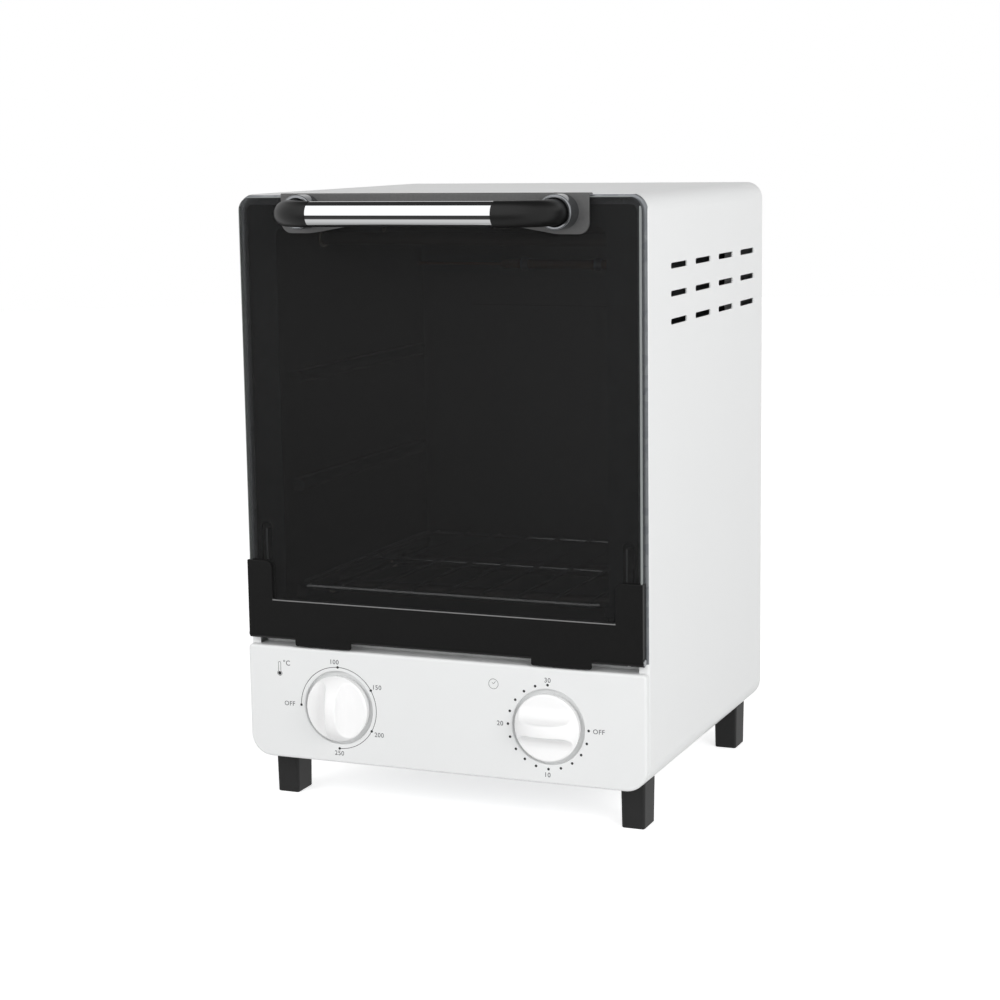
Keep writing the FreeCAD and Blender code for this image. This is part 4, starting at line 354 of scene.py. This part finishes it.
@dataclass(frozen=True)
class Parted(Coating):
    """One folded sheet with two finishes: one inside a box in metres, the other round it.

    A side of the box that lies 1 m off is beyond the piece, so it parts nothing there.
    """

    outside: Finish
    inside: Finish
    low: Place
    high: Place

    def surface(self, tree: bpy.types.NodeTree) -> bpy.types.NodeSocket:
        """Both finishes, chosen by the box."""
        both = add_node(tree, "ShaderNodeMixShader", None,
                        {0: within_box(tree, self.low, self.high), 1: self.outside.surface(tree),
                         2: self.inside.surface(tree)})
        return both.outputs["Shader"]


@dataclass(frozen=True)
class TintedGlass(Coating):
    """Toughened float glass with a dark body tint: it lets a quarter of the light through and hardly mirrors.

    Its edge is ground, so it is pale and scatters the light.
    """

    name: str = "dark tinted toughened glass"
    tint: str = "#282828"
    edge: str = "#8E9291"
    edge_roughness: float = 0.5
    opacity: float = 0.50
    mirror: float = 0.04
    refraction: float = 1.5
    dust_mm: float = 9.0
    gloss: tuple[float, float] = (0.06, 0.10)
    low: Place = (-0.1217, -1.0, -1.0)
    high: Place = (0.1217, 1.0, 0.3580)

    def surface(self, tree: bpy.types.NodeTree) -> bpy.types.NodeSocket:
        """Clear dark panes inside the box and the ground edge outside it, with a faint film of dust.

        Args:
            tree: the node tree.
        Returns:
            The shader's output.
        """
        place = add_node(tree, "ShaderNodeTexCoord").outputs["Object"]
        film = add_node(tree, "ShaderNodeTexNoise", {"Scale": 1.0 / (self.dust_mm * MM), "Detail": 2.0},
                        {"Vector": place})
        gloss = add_node(tree, "ShaderNodeMapRange", {"To Min": self.gloss[0], "To Max": self.gloss[1]},
                         {"Value": film.outputs["Fac"]})
        shader = add_node(tree, "ShaderNodeBsdfPrincipled",
                          {"Base Color": to_linear(self.tint), "Alpha": self.opacity, "IOR": self.refraction,
                           "Specular IOR Level": self.mirror},
                          {"Roughness": gloss.outputs["Result"]})
        ground = add_node(tree, "ShaderNodeBsdfDiffuse",
                          {"Color": to_linear(self.edge), "Roughness": self.edge_roughness})
        both = add_node(tree, "ShaderNodeMixShader", None,
                        {0: within_box(tree, self.low, self.high), 1: ground.outputs["BSDF"],
                         2: shader.outputs["BSDF"]})
        return both.outputs["Shader"]


class Finishes:
    """Every finish of the object, built once each and shared by the nodes of one kind."""

    # A low ripple breaks the long reflections, so a big white side is not dead flat.
    ENAMEL = Finish("white baked enamel on steel", "#EBECEC", "#EBECEC", Texture.ORANGE_PEEL, 3.2, 0.0003,
                    (0.28, 0.28), coat=0.2)
    # Flowers of zinc, each crystal with its own grey and gloss.
    PLATED = Finish("hot-dip zinc on steel", "#B9BCBE", "#9EA2A6", Texture.SPANGLE, 5.0, 0.001, (0.30, 0.46),
                    metallic=1.0)
    # Painted shade in part: a darker zinc than the plated parts, so the frame above the sill stays dark behind the
    # glass and in the gap beside it.
    DARK_ZINC = Finish("dark zinc on steel", "#4A4D4F", "#424547", Texture.SPANGLE, 4.0, 0.001, (0.42, 0.56),
                    metallic=1.0)
    FRAME = Parted("dark zinc above an enamelled sill", ENAMEL, DARK_ZINC, (-1.0, -1.0, 0.110), (1.0, 1.0, 1.0))
    # Painted shade: the hem's front strip takes grey zinc instead of the enamel, which draws the gap's shade as a
    # thin grey line between the glass and the white rim.
    HEM_SHADE = Finish("grey zinc painted as shade on the hem", "#9A9DA0", "#8A8D91", Texture.SPANGLE, 4.0, 0.001, (0.40, 0.52),
                 metallic=1.0)
    # Painted shade: the box is the hem's strip beside the glass, where the gap is in shade.
    CASING = Parted("baked enamel with painted shade on the hem", ENAMEL, HEM_SHADE, (-0.1246, -0.0890, 0.100),
                    (0.1246, -0.0870, 0.3594))
    # Fine rolling lines along the depth give the oven's walls long soft streaks. Painted shade in part: the sheet
    # is darker than aluminised steel is, so the cavity stays dark behind the glass.
    INNER = Finish("aluminised oven sheet darkened as painted shade", "#5C5D5F", "#515254", Texture.DRAWN, 1.2, 0.002, (0.36, 0.52),
                   metallic=1.0, stretch=(1.0, 0.08, 1.0))
    # Painted highlight: a grey band along the black sheet's upper edge stands for the light its rounded edge
    # catches, and parts it from the dark glass.
    BRACKET = Finish("black satin enamel on steel", "#131313", "#161616", Texture.ORANGE_PEEL, 1.1, 0.0004,
                     (0.30, 0.36), specular=0.2)
    EDGE_HIGHLIGHT = Finish("grey painted highlight along an upper edge", "#808080", "#727272", Texture.ORANGE_PEEL, 1.1, 0.0004,
                     (0.30, 0.36))
    # Painted highlight: the box is a thin band along the bracket's upper edge, where the grey replaces the black.
    BRACKET_WITH_HIGHLIGHT = Parted("black enamel with a painted highlight along its upper edge", BRACKET, EDGE_HIGHLIGHT, (-0.1072, -1.0, 0.12245),
                   (0.1072, 0.0, 0.1232))
    PLATE = Finish("grey satin paint on steel", "#585858", "#616161", Texture.ORANGE_PEEL, 1.6, 0.0006,
                   (0.34, 0.42), metallic=0.2, specular=0.4)
    # Nearly a mirror: the room draws its bands along the tube, and faint polishing lines soften their edges.
    CHROME = Finish("polished chrome on steel tube", "#EDEEEF", "#E9EAEB", Texture.DRAWN, 0.8, 0.00004,
                    (0.012, 0.025), metallic=1.0, stretch=(0.05, 1.0, 1.0))
    COLLAR = Finish("turned and polished steel", "#989A9D", "#8B8D90", Texture.DRAWN, 0.4, 0.0004,
                    (0.10, 0.16), metallic=1.0)
    # Bright enough for its glints to be seen through the dark glass.
    WIRE = Finish("bright nickel on steel wire", "#DADBDC", "#CDCECF", Texture.DRAWN, 0.5, 0.0003,
                  (0.06, 0.10), metallic=1.0)
    HEATER = Finish("annealed stainless heater tube", "#5E564C", "#3C3A40", Texture.HEAT_TINT, 22.0, 0.001,
                    (0.38, 0.52), metallic=1.0)
    CERAMIC = Finish("unglazed steatite", "#B9B4A6", "#ADA798", Texture.MOULDED, 0.5, 0.01, (0.6, 0.75))
    COPPER = Finish("drawn copper", "#9A6A4A", "#87583A", Texture.DRAWN, 0.8, 0.001, (0.28, 0.42), metallic=1.0)
    BRASS = Finish("rolled brass", "#B9A26A", "#A68F58", Texture.DRAWN, 0.9, 0.001, (0.28, 0.42), metallic=1.0,
                   stretch=(1.0, 1.0, 0.1))
    IVORY = Finish("moulded ivory polyamide", "#DDD8C6", "#D4CEBA", Texture.MOULDED, 0.7, 0.004, (0.42, 0.55))
    # A spark-eroded mould leaves a fine grain that spreads the light on the black feet.
    FOOT = Finish("moulded black polyamide", "#222222", "#2A2A2A", Texture.MOULDED, 0.45, 0.006, (0.42, 0.55),
                  specular=0.3)
    ZINC = Finish("bright zinc on steel", "#C4C7CB", "#B4B8BD", Texture.DRAWN, 0.4, 0.0008, (0.24, 0.34),
                  metallic=1.0)
    ELBOW = Finish("moulded black phenolic", "#141414", "#191919", Texture.MOULDED, 0.6, 0.002, (0.34, 0.44),
                   specular=0.3)
    # Whiter and glossier than the panel, so the knobs stand out from it.
    KNOB = Finish("moulded white ABS", "#FAFAFA", "#FAFAFA", Texture.MOULDED, 0.8, 0.0004, (0.22, 0.22))
    # Lines and dots are printed full, the small characters thin and so paler.
    INK = Finish("printed black ink", "#1C1C1E", "#252527", Texture.MOULDED, 0.3, 0.0004, (0.5, 0.6))
    THIN_INK = Finish("thin grey printed ink", "#4C4C50", "#57575B", Texture.MOULDED, 0.3, 0.0004, (0.5, 0.6))
    GLASS = TintedGlass()

    def __init__(self) -> None:
        """Starts with nothing built."""
        self.built: dict[str, bpy.types.Material] = {}

    def material(self, finish: Coating) -> bpy.types.Material:
        """Gives the finish's material, building it the first time."""
        if finish.name not in self.built:
            self.built[finish.name] = finish.build()
        return self.built[finish.name]

    def dress(self, target: bpy.types.Object, finish: Coating) -> None:
        """Gives the object one finish all over."""
        target.data.materials.clear()
        target.data.materials.append(self.material(finish))


@dataclass
class Assembly:
    """A group of nodes and added pieces that ride on one body."""

    finishes: Finishes
    body: str = "cabinet"

    def node_finishes(self) -> dict[str, Coating]:
        """The finish of each node, by the start of the node's name."""
        return {}

    def dress_nodes(self) -> None:
        """Gives every node of the assembly its finish."""
        for start, finish in self.node_finishes().items():
            for name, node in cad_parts.items():
                if name.startswith(start):
                    self.finishes.dress(node, finish)

    def add_piece(self, name: str, surface: Surface, finish: Finish, slot: str) -> bpy.types.Object:
        """Adds a piece that rides on the assembly's body.

        Args:
            name: the piece's name.
            surface: its shape.
            finish: its finish.
            slot: the record's material slot; it is not used.
        Returns:
            The piece.
        """
        piece = surface.make_object(name)
        self.finishes.dress(piece, finish)
        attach(piece, self.body)
        LOG.info("%s: %d faces on %s", name, len(surface.faces), self.body)
        return piece

    def build(self) -> None:
        """Dresses the nodes and adds the pieces."""
        self.dress_nodes()


@dataclass
class Cabinet(Assembly):
    """The casing, its covers, the feet and all screws."""

    def node_finishes(self) -> dict[str, Coating]:
        """White enamel outside, zinc below, black feet."""
        return {
            "outer_casing": Finishes.CASING, "rear_cover": Finishes.ENAMEL, "rear_cover_screws": Finishes.ZINC,
            "base_plate": Finishes.PLATED, "base_screws": Finishes.ZINC, "foot_": Finishes.FOOT,
            "foot_screws": Finishes.ZINC, "cord_gland": Finishes.FOOT, "terminal_block": Finishes.IVORY,
            "front_frame": Finishes.FRAME,
        }


@dataclass
class Oven(Assembly):
    """The heated cavity with its heaters, bulb and rack."""

    def node_finishes(self) -> dict[str, Coating]:
        """Aluminised sheet, nickel wire, tinted heaters."""
        return {
            "cavity_": Finishes.INNER, "wire_rack": Finishes.WIRE, "heater_": Finishes.HEATER,
            "heater_bushes": Finishes.CERAMIC, "bulb_clips": Finishes.ZINC, "thermostat_bulb": Finishes.COPPER,
            "capillary_tube": Finishes.COPPER,
        }


@dataclass
class Door(Assembly):
    """The glass, its bracket and handle, the stays and the hinges."""

    body: str = "door"

    def node_finishes(self) -> dict[str, Coating]:
        """Dark glass in black and grey sheet, bright tube between black ends on polished collars."""
        return {
            "door_glass": Finishes.GLASS, "door_bracket": Finishes.BRACKET_WITH_HIGHLIGHT, "handle_plate": Finishes.PLATE,
            "handle_collar": Finishes.COLLAR, "handle_elbow": Finishes.ELBOW, "handle_tube": Finishes.CHROME,
            "handle_screws": Finishes.ZINC, "stay_": Finishes.PLATED, "hinge_": Finishes.PLATED,
        }


@dataclass
class Controls(Assembly):
    """The control panel with its two knobs and what is printed round them.

    The panel's face, the knobs' level and their distance from the middle follow the CAD. The ink stands out
    from the face by its thickness and reaches a hair into it.
    """

    TEMPERATURE_LABELS = (("OFF", -98.2, 60.5, 2.75), ("100", -67.9, 87.9, 2.75), ("150", -40.6, 74.7, 2.75),
                          ("200", -40.0, 46.2, 2.75), ("250", -66.2, 33.0, 2.75), ("°C", -99.6, 85.0, 3.2))
    TIMER_LABELS = (("OFF", 96.6, 60.2, 2.75), ("30", 66.0, 87.6, 2.75), ("20", 36.6, 60.2, 2.75),
                    ("10", 65.6, 32.4, 2.75))

    face: float = -93.05 * MM
    ink: float = 0.03 * MM
    sunk: float = 0.01 * MM
    level: float = 60.3 * MM
    side: float = 66.0 * MM
    scale_radius: float = 24.5 * MM
    line: float = 0.33 * MM
    dot: float = 0.78 * MM
    arc: tuple[float, float] = (-90.0, 180.0)
    temperature_marks: tuple[float, ...] = (180.0, 90.0, 30.0, -30.0, -90.0)
    timer_step: float = 18.0
    timer_marks: int = 16
    bulb: float = 1.1 * MM
    bulb_place: Spot = (-104.3 * MM, 78.5 * MM)
    clock_place: Spot = (32.9 * MM, 82.9 * MM)

    def node_finishes(self) -> dict[str, Coating]:
        """White panel and knobs, plated and brass works behind."""
        return {
            "control_panel": Finishes.ENAMEL, "control_screws": Finishes.ZINC,
            "temperature_knob": Finishes.KNOB, "timer_knob": Finishes.KNOB,
            "temperature_shaft": Finishes.PLATED, "timer_shaft": Finishes.PLATED,
            "thermostat_body": Finishes.PLATED, "timer_case": Finishes.BRASS, "timer_bell": Finishes.CHROME,
        }

    def flat(self, outline: np.ndarray) -> Surface:
        """An outline as a thin film of ink on the panel."""
        return prism(outline, self.face - self.ink, self.ink + self.sunk)

    def dots(self, centre: float, angles: list[float] | tuple[float, ...]) -> list[Surface]:
        """A dot at each angle in degrees from +X: the axis plus the scale's radius times its cosine and sine."""
        turns = [math.radians(angle) for angle in angles]
        return [self.flat(circle((centre + self.scale_radius * math.cos(turn),
                                  self.level + self.scale_radius * math.sin(turn)), self.dot)) for turn in turns]

    def labels(self, rows: tuple[tuple[str, float, float, float], ...]) -> list[Surface]:
        """Printed characters: each row has the text, its middle (x, z) and its height, in millimetres."""
        return [lettering(text, (x * MM, z * MM), height * MM, self.face - self.ink, self.ink + self.sunk)
                for text, x, z, height in rows]

    def thermometer(self) -> Surface:
        """A small thermometer sign: a round-topped tube that opens into the bulb's ring."""
        x, foot = self.bulb_place
        ring = 1.5 * MM
        open_from, open_to = 58, 122  # degrees from +X: where the tube meets the ring
        half, neck, top, thin = 0.75 * MM, foot + 1.2 * MM, foot + 6.2 * MM, 0.26 * MM
        parts = [
            self.flat(arc_band((x, foot), ring, thin, open_to, open_from + 360)),
            self.flat(bar((x - half, neck), (x - half, top), thin)),
            self.flat(bar((x + half, neck), (x + half, top), thin)),
            self.flat(arc_band((x, top), half, thin, 0, 180)),
        ]
        return Surface.joined(parts)

    def clock(self) -> Surface:
        """A small clock sign: a ring of two half arcs and two hands."""
        x, z = self.clock_place
        radius, thin = 2.9 * MM, 0.24 * MM
        parts = [
            self.flat(arc_band((x, z), radius, thin, 0, 180)),
            self.flat(arc_band((x, z), radius, thin, 180, 360)),
            self.flat(bar((x, z), (x + 1.3 * MM, z + 1.5 * MM), thin)),
            self.flat(bar((x, z), (x - 0.9 * MM, z + 0.9 * MM), thin)),
        ]
        return Surface.joined(parts)

    def add_temperature_scale(self) -> None:
        """An arc from off to the hottest mark, a dot at each mark, their numbers and a thermometer sign."""
        middle = -self.side
        first, last = self.arc
        arc = self.flat(arc_band((middle, self.level), self.scale_radius, self.line, first, last))
        bulb = self.flat(circle(self.bulb_place, self.bulb))
        self.add_piece("temperature_scale", Surface.joined([arc, bulb] + self.dots(middle, self.temperature_marks)),
                       Finishes.INK, "black_paint")
        numbers = self.labels(self.TEMPERATURE_LABELS) + [self.thermometer()]
        self.add_piece("temperature_numbers", Surface.joined(numbers), Finishes.THIN_INK, "black_paint")

    def add_timer_scale(self) -> None:
        """A dot every two minutes from off round to thirty, numbers at each ten and a clock sign."""
        angles = [-self.timer_step * step for step in range(self.timer_marks)]
        self.add_piece("timer_scale", Surface.joined(self.dots(self.side, angles)), Finishes.INK, "black_paint")
        numbers = self.labels(self.TIMER_LABELS) + [self.clock()]
        self.add_piece("timer_numbers", Surface.joined(numbers), Finishes.THIN_INK, "black_paint")

    def build(self) -> None:
        """Dresses the panel and prints both dials."""
        self.dress_nodes()
        self.add_temperature_scale()
        self.add_timer_scale()


@dataclass
class Viewpoint:
    """The camera at the photograph's angle: a place, a yaw, a pitch and a small roll.

    The angles are in degrees, the lens and the sensor in millimetres. The place, the angles and the lens were
    solved from the cabinet's edges.
    """

    place: Place = (0.517634, -1.252808, 0.393968)
    yaw: float = 22.443
    pitch: float = 9.26
    roll: float = 0.832
    lens: float = 81.49
    sensor: float = 36.0
    far_clip: float = 30.0

    def build(self) -> bpy.types.Object:
        """Adds the camera.

        Returns:
            The camera, set as the scene's own.
        """
        yaw, pitch, roll = (math.radians(angle) for angle in (self.yaw, self.pitch, self.roll))
        ahead = Vector((-math.sin(yaw) * math.cos(pitch), math.cos(yaw) * math.cos(pitch), -math.sin(pitch)))
        aside = Vector((math.cos(yaw), math.sin(yaw), 0.0))
        below = ahead.cross(aside)
        right = aside * math.cos(roll) + below * math.sin(roll)
        down = below * math.cos(roll) - aside * math.sin(roll)
        data = bpy.data.cameras.new("photo camera")
        data.lens = self.lens
        data.sensor_width = self.sensor
        data.clip_end = self.far_clip
        camera = bpy.data.objects.new("photo_camera", data)
        bpy.context.scene.collection.objects.link(camera)
        turn = Matrix((right, -down, -ahead)).transposed()
        camera.matrix_world = Matrix.Translation(Vector(self.place)) @ turn.to_4x4()
        bpy.context.scene.camera = camera
        return camera


@dataclass
class Studio:
    """A white sheet to stand on, an evenly lit room and two soft lamps.

    The room's stops go by the height of a ray, from level to straight up, and the mirror's by its angle in
    degrees.
    """

    floor_reach: float = 4.0
    floor_corners: int = 96
    floor_glow: float = 0.62
    room_level: float = 0.86
    room_stops: Stops = ((0.0, 1.0), (0.40, 1.0), (0.75, 0.36), (1.0, 0.14))
    mirror_level: float = 1.2
    side_level: float = 0.62
    side_from: float = 0.5
    side_full: float = 0.75
    mirror_stops: Stops = (
        (-180, 0.70), (-130, 0.45), (-105, 0.30), (-90, 0.37), (-75, 0.50), (-60, 0.56), (-47, 0.55), (-42, 0.05),
        (-11, 0.03), (-7, 0.9), (0, 1.0), (83, 1.0), (87, 0.03), (146, 0.02), (156, 0.60), (180, 0.62))
    paper: tuple[float, float] = (0.90, 0.92)
    paper_grain: float = 400.0
    key_place: Place = (1.55, -1.2, 0.9)
    key_size: float = 1.1
    key_energy: float = 17.5
    fill_place: Place = (-0.85, -1.55, 1.0)
    fill_size: float = 1.0
    fill_energy: float = 8.0
    aim: Place = (0.0, 0.0, 0.18)

    def ramp(self, tree: bpy.types.NodeTree, value: bpy.types.NodeSocket, stops: Stops) -> bpy.types.NodeSocket:
        """A grey ramp.

        Args:
            tree: the node tree.
            value: what it runs along, from 0 to 1.
            stops: places and grey levels, in rising order.
        Returns:
            The grey level.
        """
        node = add_node(tree, "ShaderNodeValToRGB", None, {"Fac": value})
        elements = node.color_ramp.elements
        for element, (place, level) in zip(elements, (stops[0], stops[-1])):
            element.position = place
            element.color = (level, level, level, 1.0)
        for place, level in stops[1:-1]:
            elements.new(place).color = (level, level, level, 1.0)
        return node.outputs["Color"]

    def mirror_grey(self, tree: bpy.types.NodeTree, direction: bpy.types.NodeSocket) -> bpy.types.NodeSocket:
        """What a mirror ray sees, as white sheets and black flags round the object would give it.

        It goes by the angle in the YZ plane, the arctangent of z over -y: 0 is level to the front, 90 the
        zenith, 180 level to the rear. A flag behind the zenith darkens the top of the handle's tube, and one
        low in front draws the thin dark line along it. The flags end at the sides: a ray that goes mostly
        along X sees the plain side level.

        Args:
            tree: the node tree.
            direction: where the ray goes.
        Returns:
            The grey level.
        """
        parts = add_node(tree, "ShaderNodeSeparateXYZ", None, {"Vector": direction})
        forward = add_node(tree, "ShaderNodeMath", {"operation": "MULTIPLY", 1: -1.0}, {0: parts.outputs["Y"]})
        turn = add_node(tree, "ShaderNodeMath", {"operation": "ARCTAN2"},
                        {0: parts.outputs["Z"], 1: forward.outputs["Value"]})
        share = add_node(tree, "ShaderNodeMapRange", {"From Min": -math.pi, "From Max": math.pi},
                         {"Value": turn.outputs["Value"]})
        stops = tuple(((angle + 180) / 360, level) for angle, level in self.mirror_stops)
        sideways = add_node(tree, "ShaderNodeMath", {"operation": "ABSOLUTE"}, {0: parts.outputs["X"]})
        plain = add_node(tree, "ShaderNodeMapRange", {"From Min": self.side_from, "From Max": self.side_full},
                         {"Value": sideways.outputs["Value"]})
        beside = (self.side_level, self.side_level, self.side_level, 1.0)
        level = add_node(tree, "ShaderNodeMix", {"data_type": "RGBA", MIX_SECOND: beside},
                         {0: plain.outputs["Result"], MIX_FIRST: self.ramp(tree, share.outputs["Result"], stops)})
        return level.outputs[MIX_RESULT]

    def sheet(self, tree: bpy.types.NodeTree) -> bpy.types.NodeSocket:
        """White paper that takes shadows, glows for the camera and turns into the mirror ramp for mirror rays.

        Args:
            tree: the node tree.
        Returns:
            The shader's output.
        """
        path = add_node(tree, "ShaderNodeLightPath")
        place = add_node(tree, "ShaderNodeTexCoord").outputs["Object"]
        grain = add_node(tree, "ShaderNodeTexNoise", {"Scale": self.paper_grain}, {"Vector": place})
        tone = add_node(tree, "ShaderNodeMapRange", {"To Min": self.paper[0], "To Max": self.paper[1]},
                        {"Value": grain.outputs["Fac"]})
        paper = add_node(tree, "ShaderNodeBsdfDiffuse", None, {"Color": tone.outputs["Result"]})
        glow = add_node(tree, "ShaderNodeEmission", {"Color": (1.0, 1.0, 1.0, 1.0), "Strength": self.floor_glow})
        both = add_node(tree, "ShaderNodeAddShader", None, {0: paper.outputs["BSDF"], 1: glow.outputs["Emission"]})
        incoming = add_node(tree, "ShaderNodeNewGeometry").outputs["Incoming"]
        onward = add_node(tree, "ShaderNodeVectorMath", {"operation": "SCALE", "Scale": -1.0}, {0: incoming})
        mirrored = add_node(tree, "ShaderNodeEmission", {"Strength": self.mirror_level},
                            {"Color": self.mirror_grey(tree, onward.outputs["Vector"])})
        seen = add_node(tree, "ShaderNodeMixShader", None,
                        {0: path.outputs["Is Camera Ray"], 1: paper.outputs["BSDF"], 2: both.outputs["Shader"]})
        final = add_node(tree, "ShaderNodeMixShader", None,
                         {0: path.outputs["Is Glossy Ray"], 1: seen.outputs["Shader"],
                          2: mirrored.outputs["Emission"]})
        return final.outputs["Shader"]

    def add_floor(self) -> None:
        """A round white sheet under the object."""
        rim = circle((0.0, 0.0), self.floor_reach, self.floor_corners)
        points = np.column_stack([rim, np.zeros(len(rim))])
        floor = Surface(points, [list(range(len(rim)))]).make_object("studio_floor")
        floor.data.materials.append(build_material("white studio sheet", self.sheet))

    def add_room(self) -> None:
        """The room: lit walls and a dim ceiling, plain white for the camera."""
        world = bpy.data.worlds.new("studio room")
        bpy.context.scene.world = world
        world.use_nodes = True
        tree = world.node_tree
        tree.nodes.clear()
        path = add_node(tree, "ShaderNodeLightPath")
        direction = add_node(tree, "ShaderNodeTexCoord").outputs["Generated"]
        parts = add_node(tree, "ShaderNodeSeparateXYZ", None, {"Vector": direction})
        room = add_node(tree, "ShaderNodeBackground", {"Strength": self.room_level},
                        {"Color": self.ramp(tree, parts.outputs["Z"], self.room_stops)})
        mirrored = add_node(tree, "ShaderNodeBackground", {"Strength": self.mirror_level},
                            {"Color": self.mirror_grey(tree, direction)})
        white = add_node(tree, "ShaderNodeBackground", {"Color": (1.0, 1.0, 1.0, 1.0), "Strength": 1.0})
        lit = add_node(tree, "ShaderNodeMixShader", None,
                       {0: path.outputs["Is Glossy Ray"], 1: room.outputs["Background"],
                        2: mirrored.outputs["Background"]})
        seen = add_node(tree, "ShaderNodeMixShader", None,
                        {0: path.outputs["Is Camera Ray"], 1: lit.outputs["Shader"],
                         2: white.outputs["Background"]})
        add_node(tree, "ShaderNodeOutputWorld", None, {"Surface": seen.outputs["Shader"]})

    def add_lamp(self, name: str, place: Place, size: float, energy: float) -> None:
        """A square soft lamp that points at the object's middle and is itself never seen.

        Args:
            name: the lamp's name.
            place: where it stands.
            size: its side.
            energy: its power in watts.
        """
        data = bpy.data.lights.new(name, "AREA")
        data.size = size
        data.energy = energy
        lamp = bpy.data.objects.new(name, data)
        bpy.context.scene.collection.objects.link(lamp)
        ahead = Vector(self.aim) - Vector(place)
        lamp.matrix_world = Matrix.Translation(Vector(place)) @ ahead.to_track_quat("-Z", "Y").to_matrix().to_4x4()
        lamp.visible_camera = False
        lamp.visible_glossy = False

    def build(self) -> None:
        """Sets up the floor, the room and the lamps."""
        bpy.context.scene.view_settings.view_transform = "Standard"
        self.add_floor()
        self.add_room()
        self.add_lamp("key_lamp", self.key_place, self.key_size, self.key_energy)
        self.add_lamp("fill_lamp", self.fill_place, self.fill_size, self.fill_energy)


def main() -> None:
    """Builds every sub-assembly, then the studio."""
    logging.basicConfig(level=logging.INFO, format="%(name)s: %(message)s")
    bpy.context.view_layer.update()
    finishes = Finishes()
    for assembly in (Cabinet(finishes), Oven(finishes), Door(finishes), Controls(finishes)):
        assembly.build()
        LOG.info("%s is dressed", type(assembly).__name__)
    Studio().build()
    Viewpoint().build()


if __name__ == "__main__":
    main()
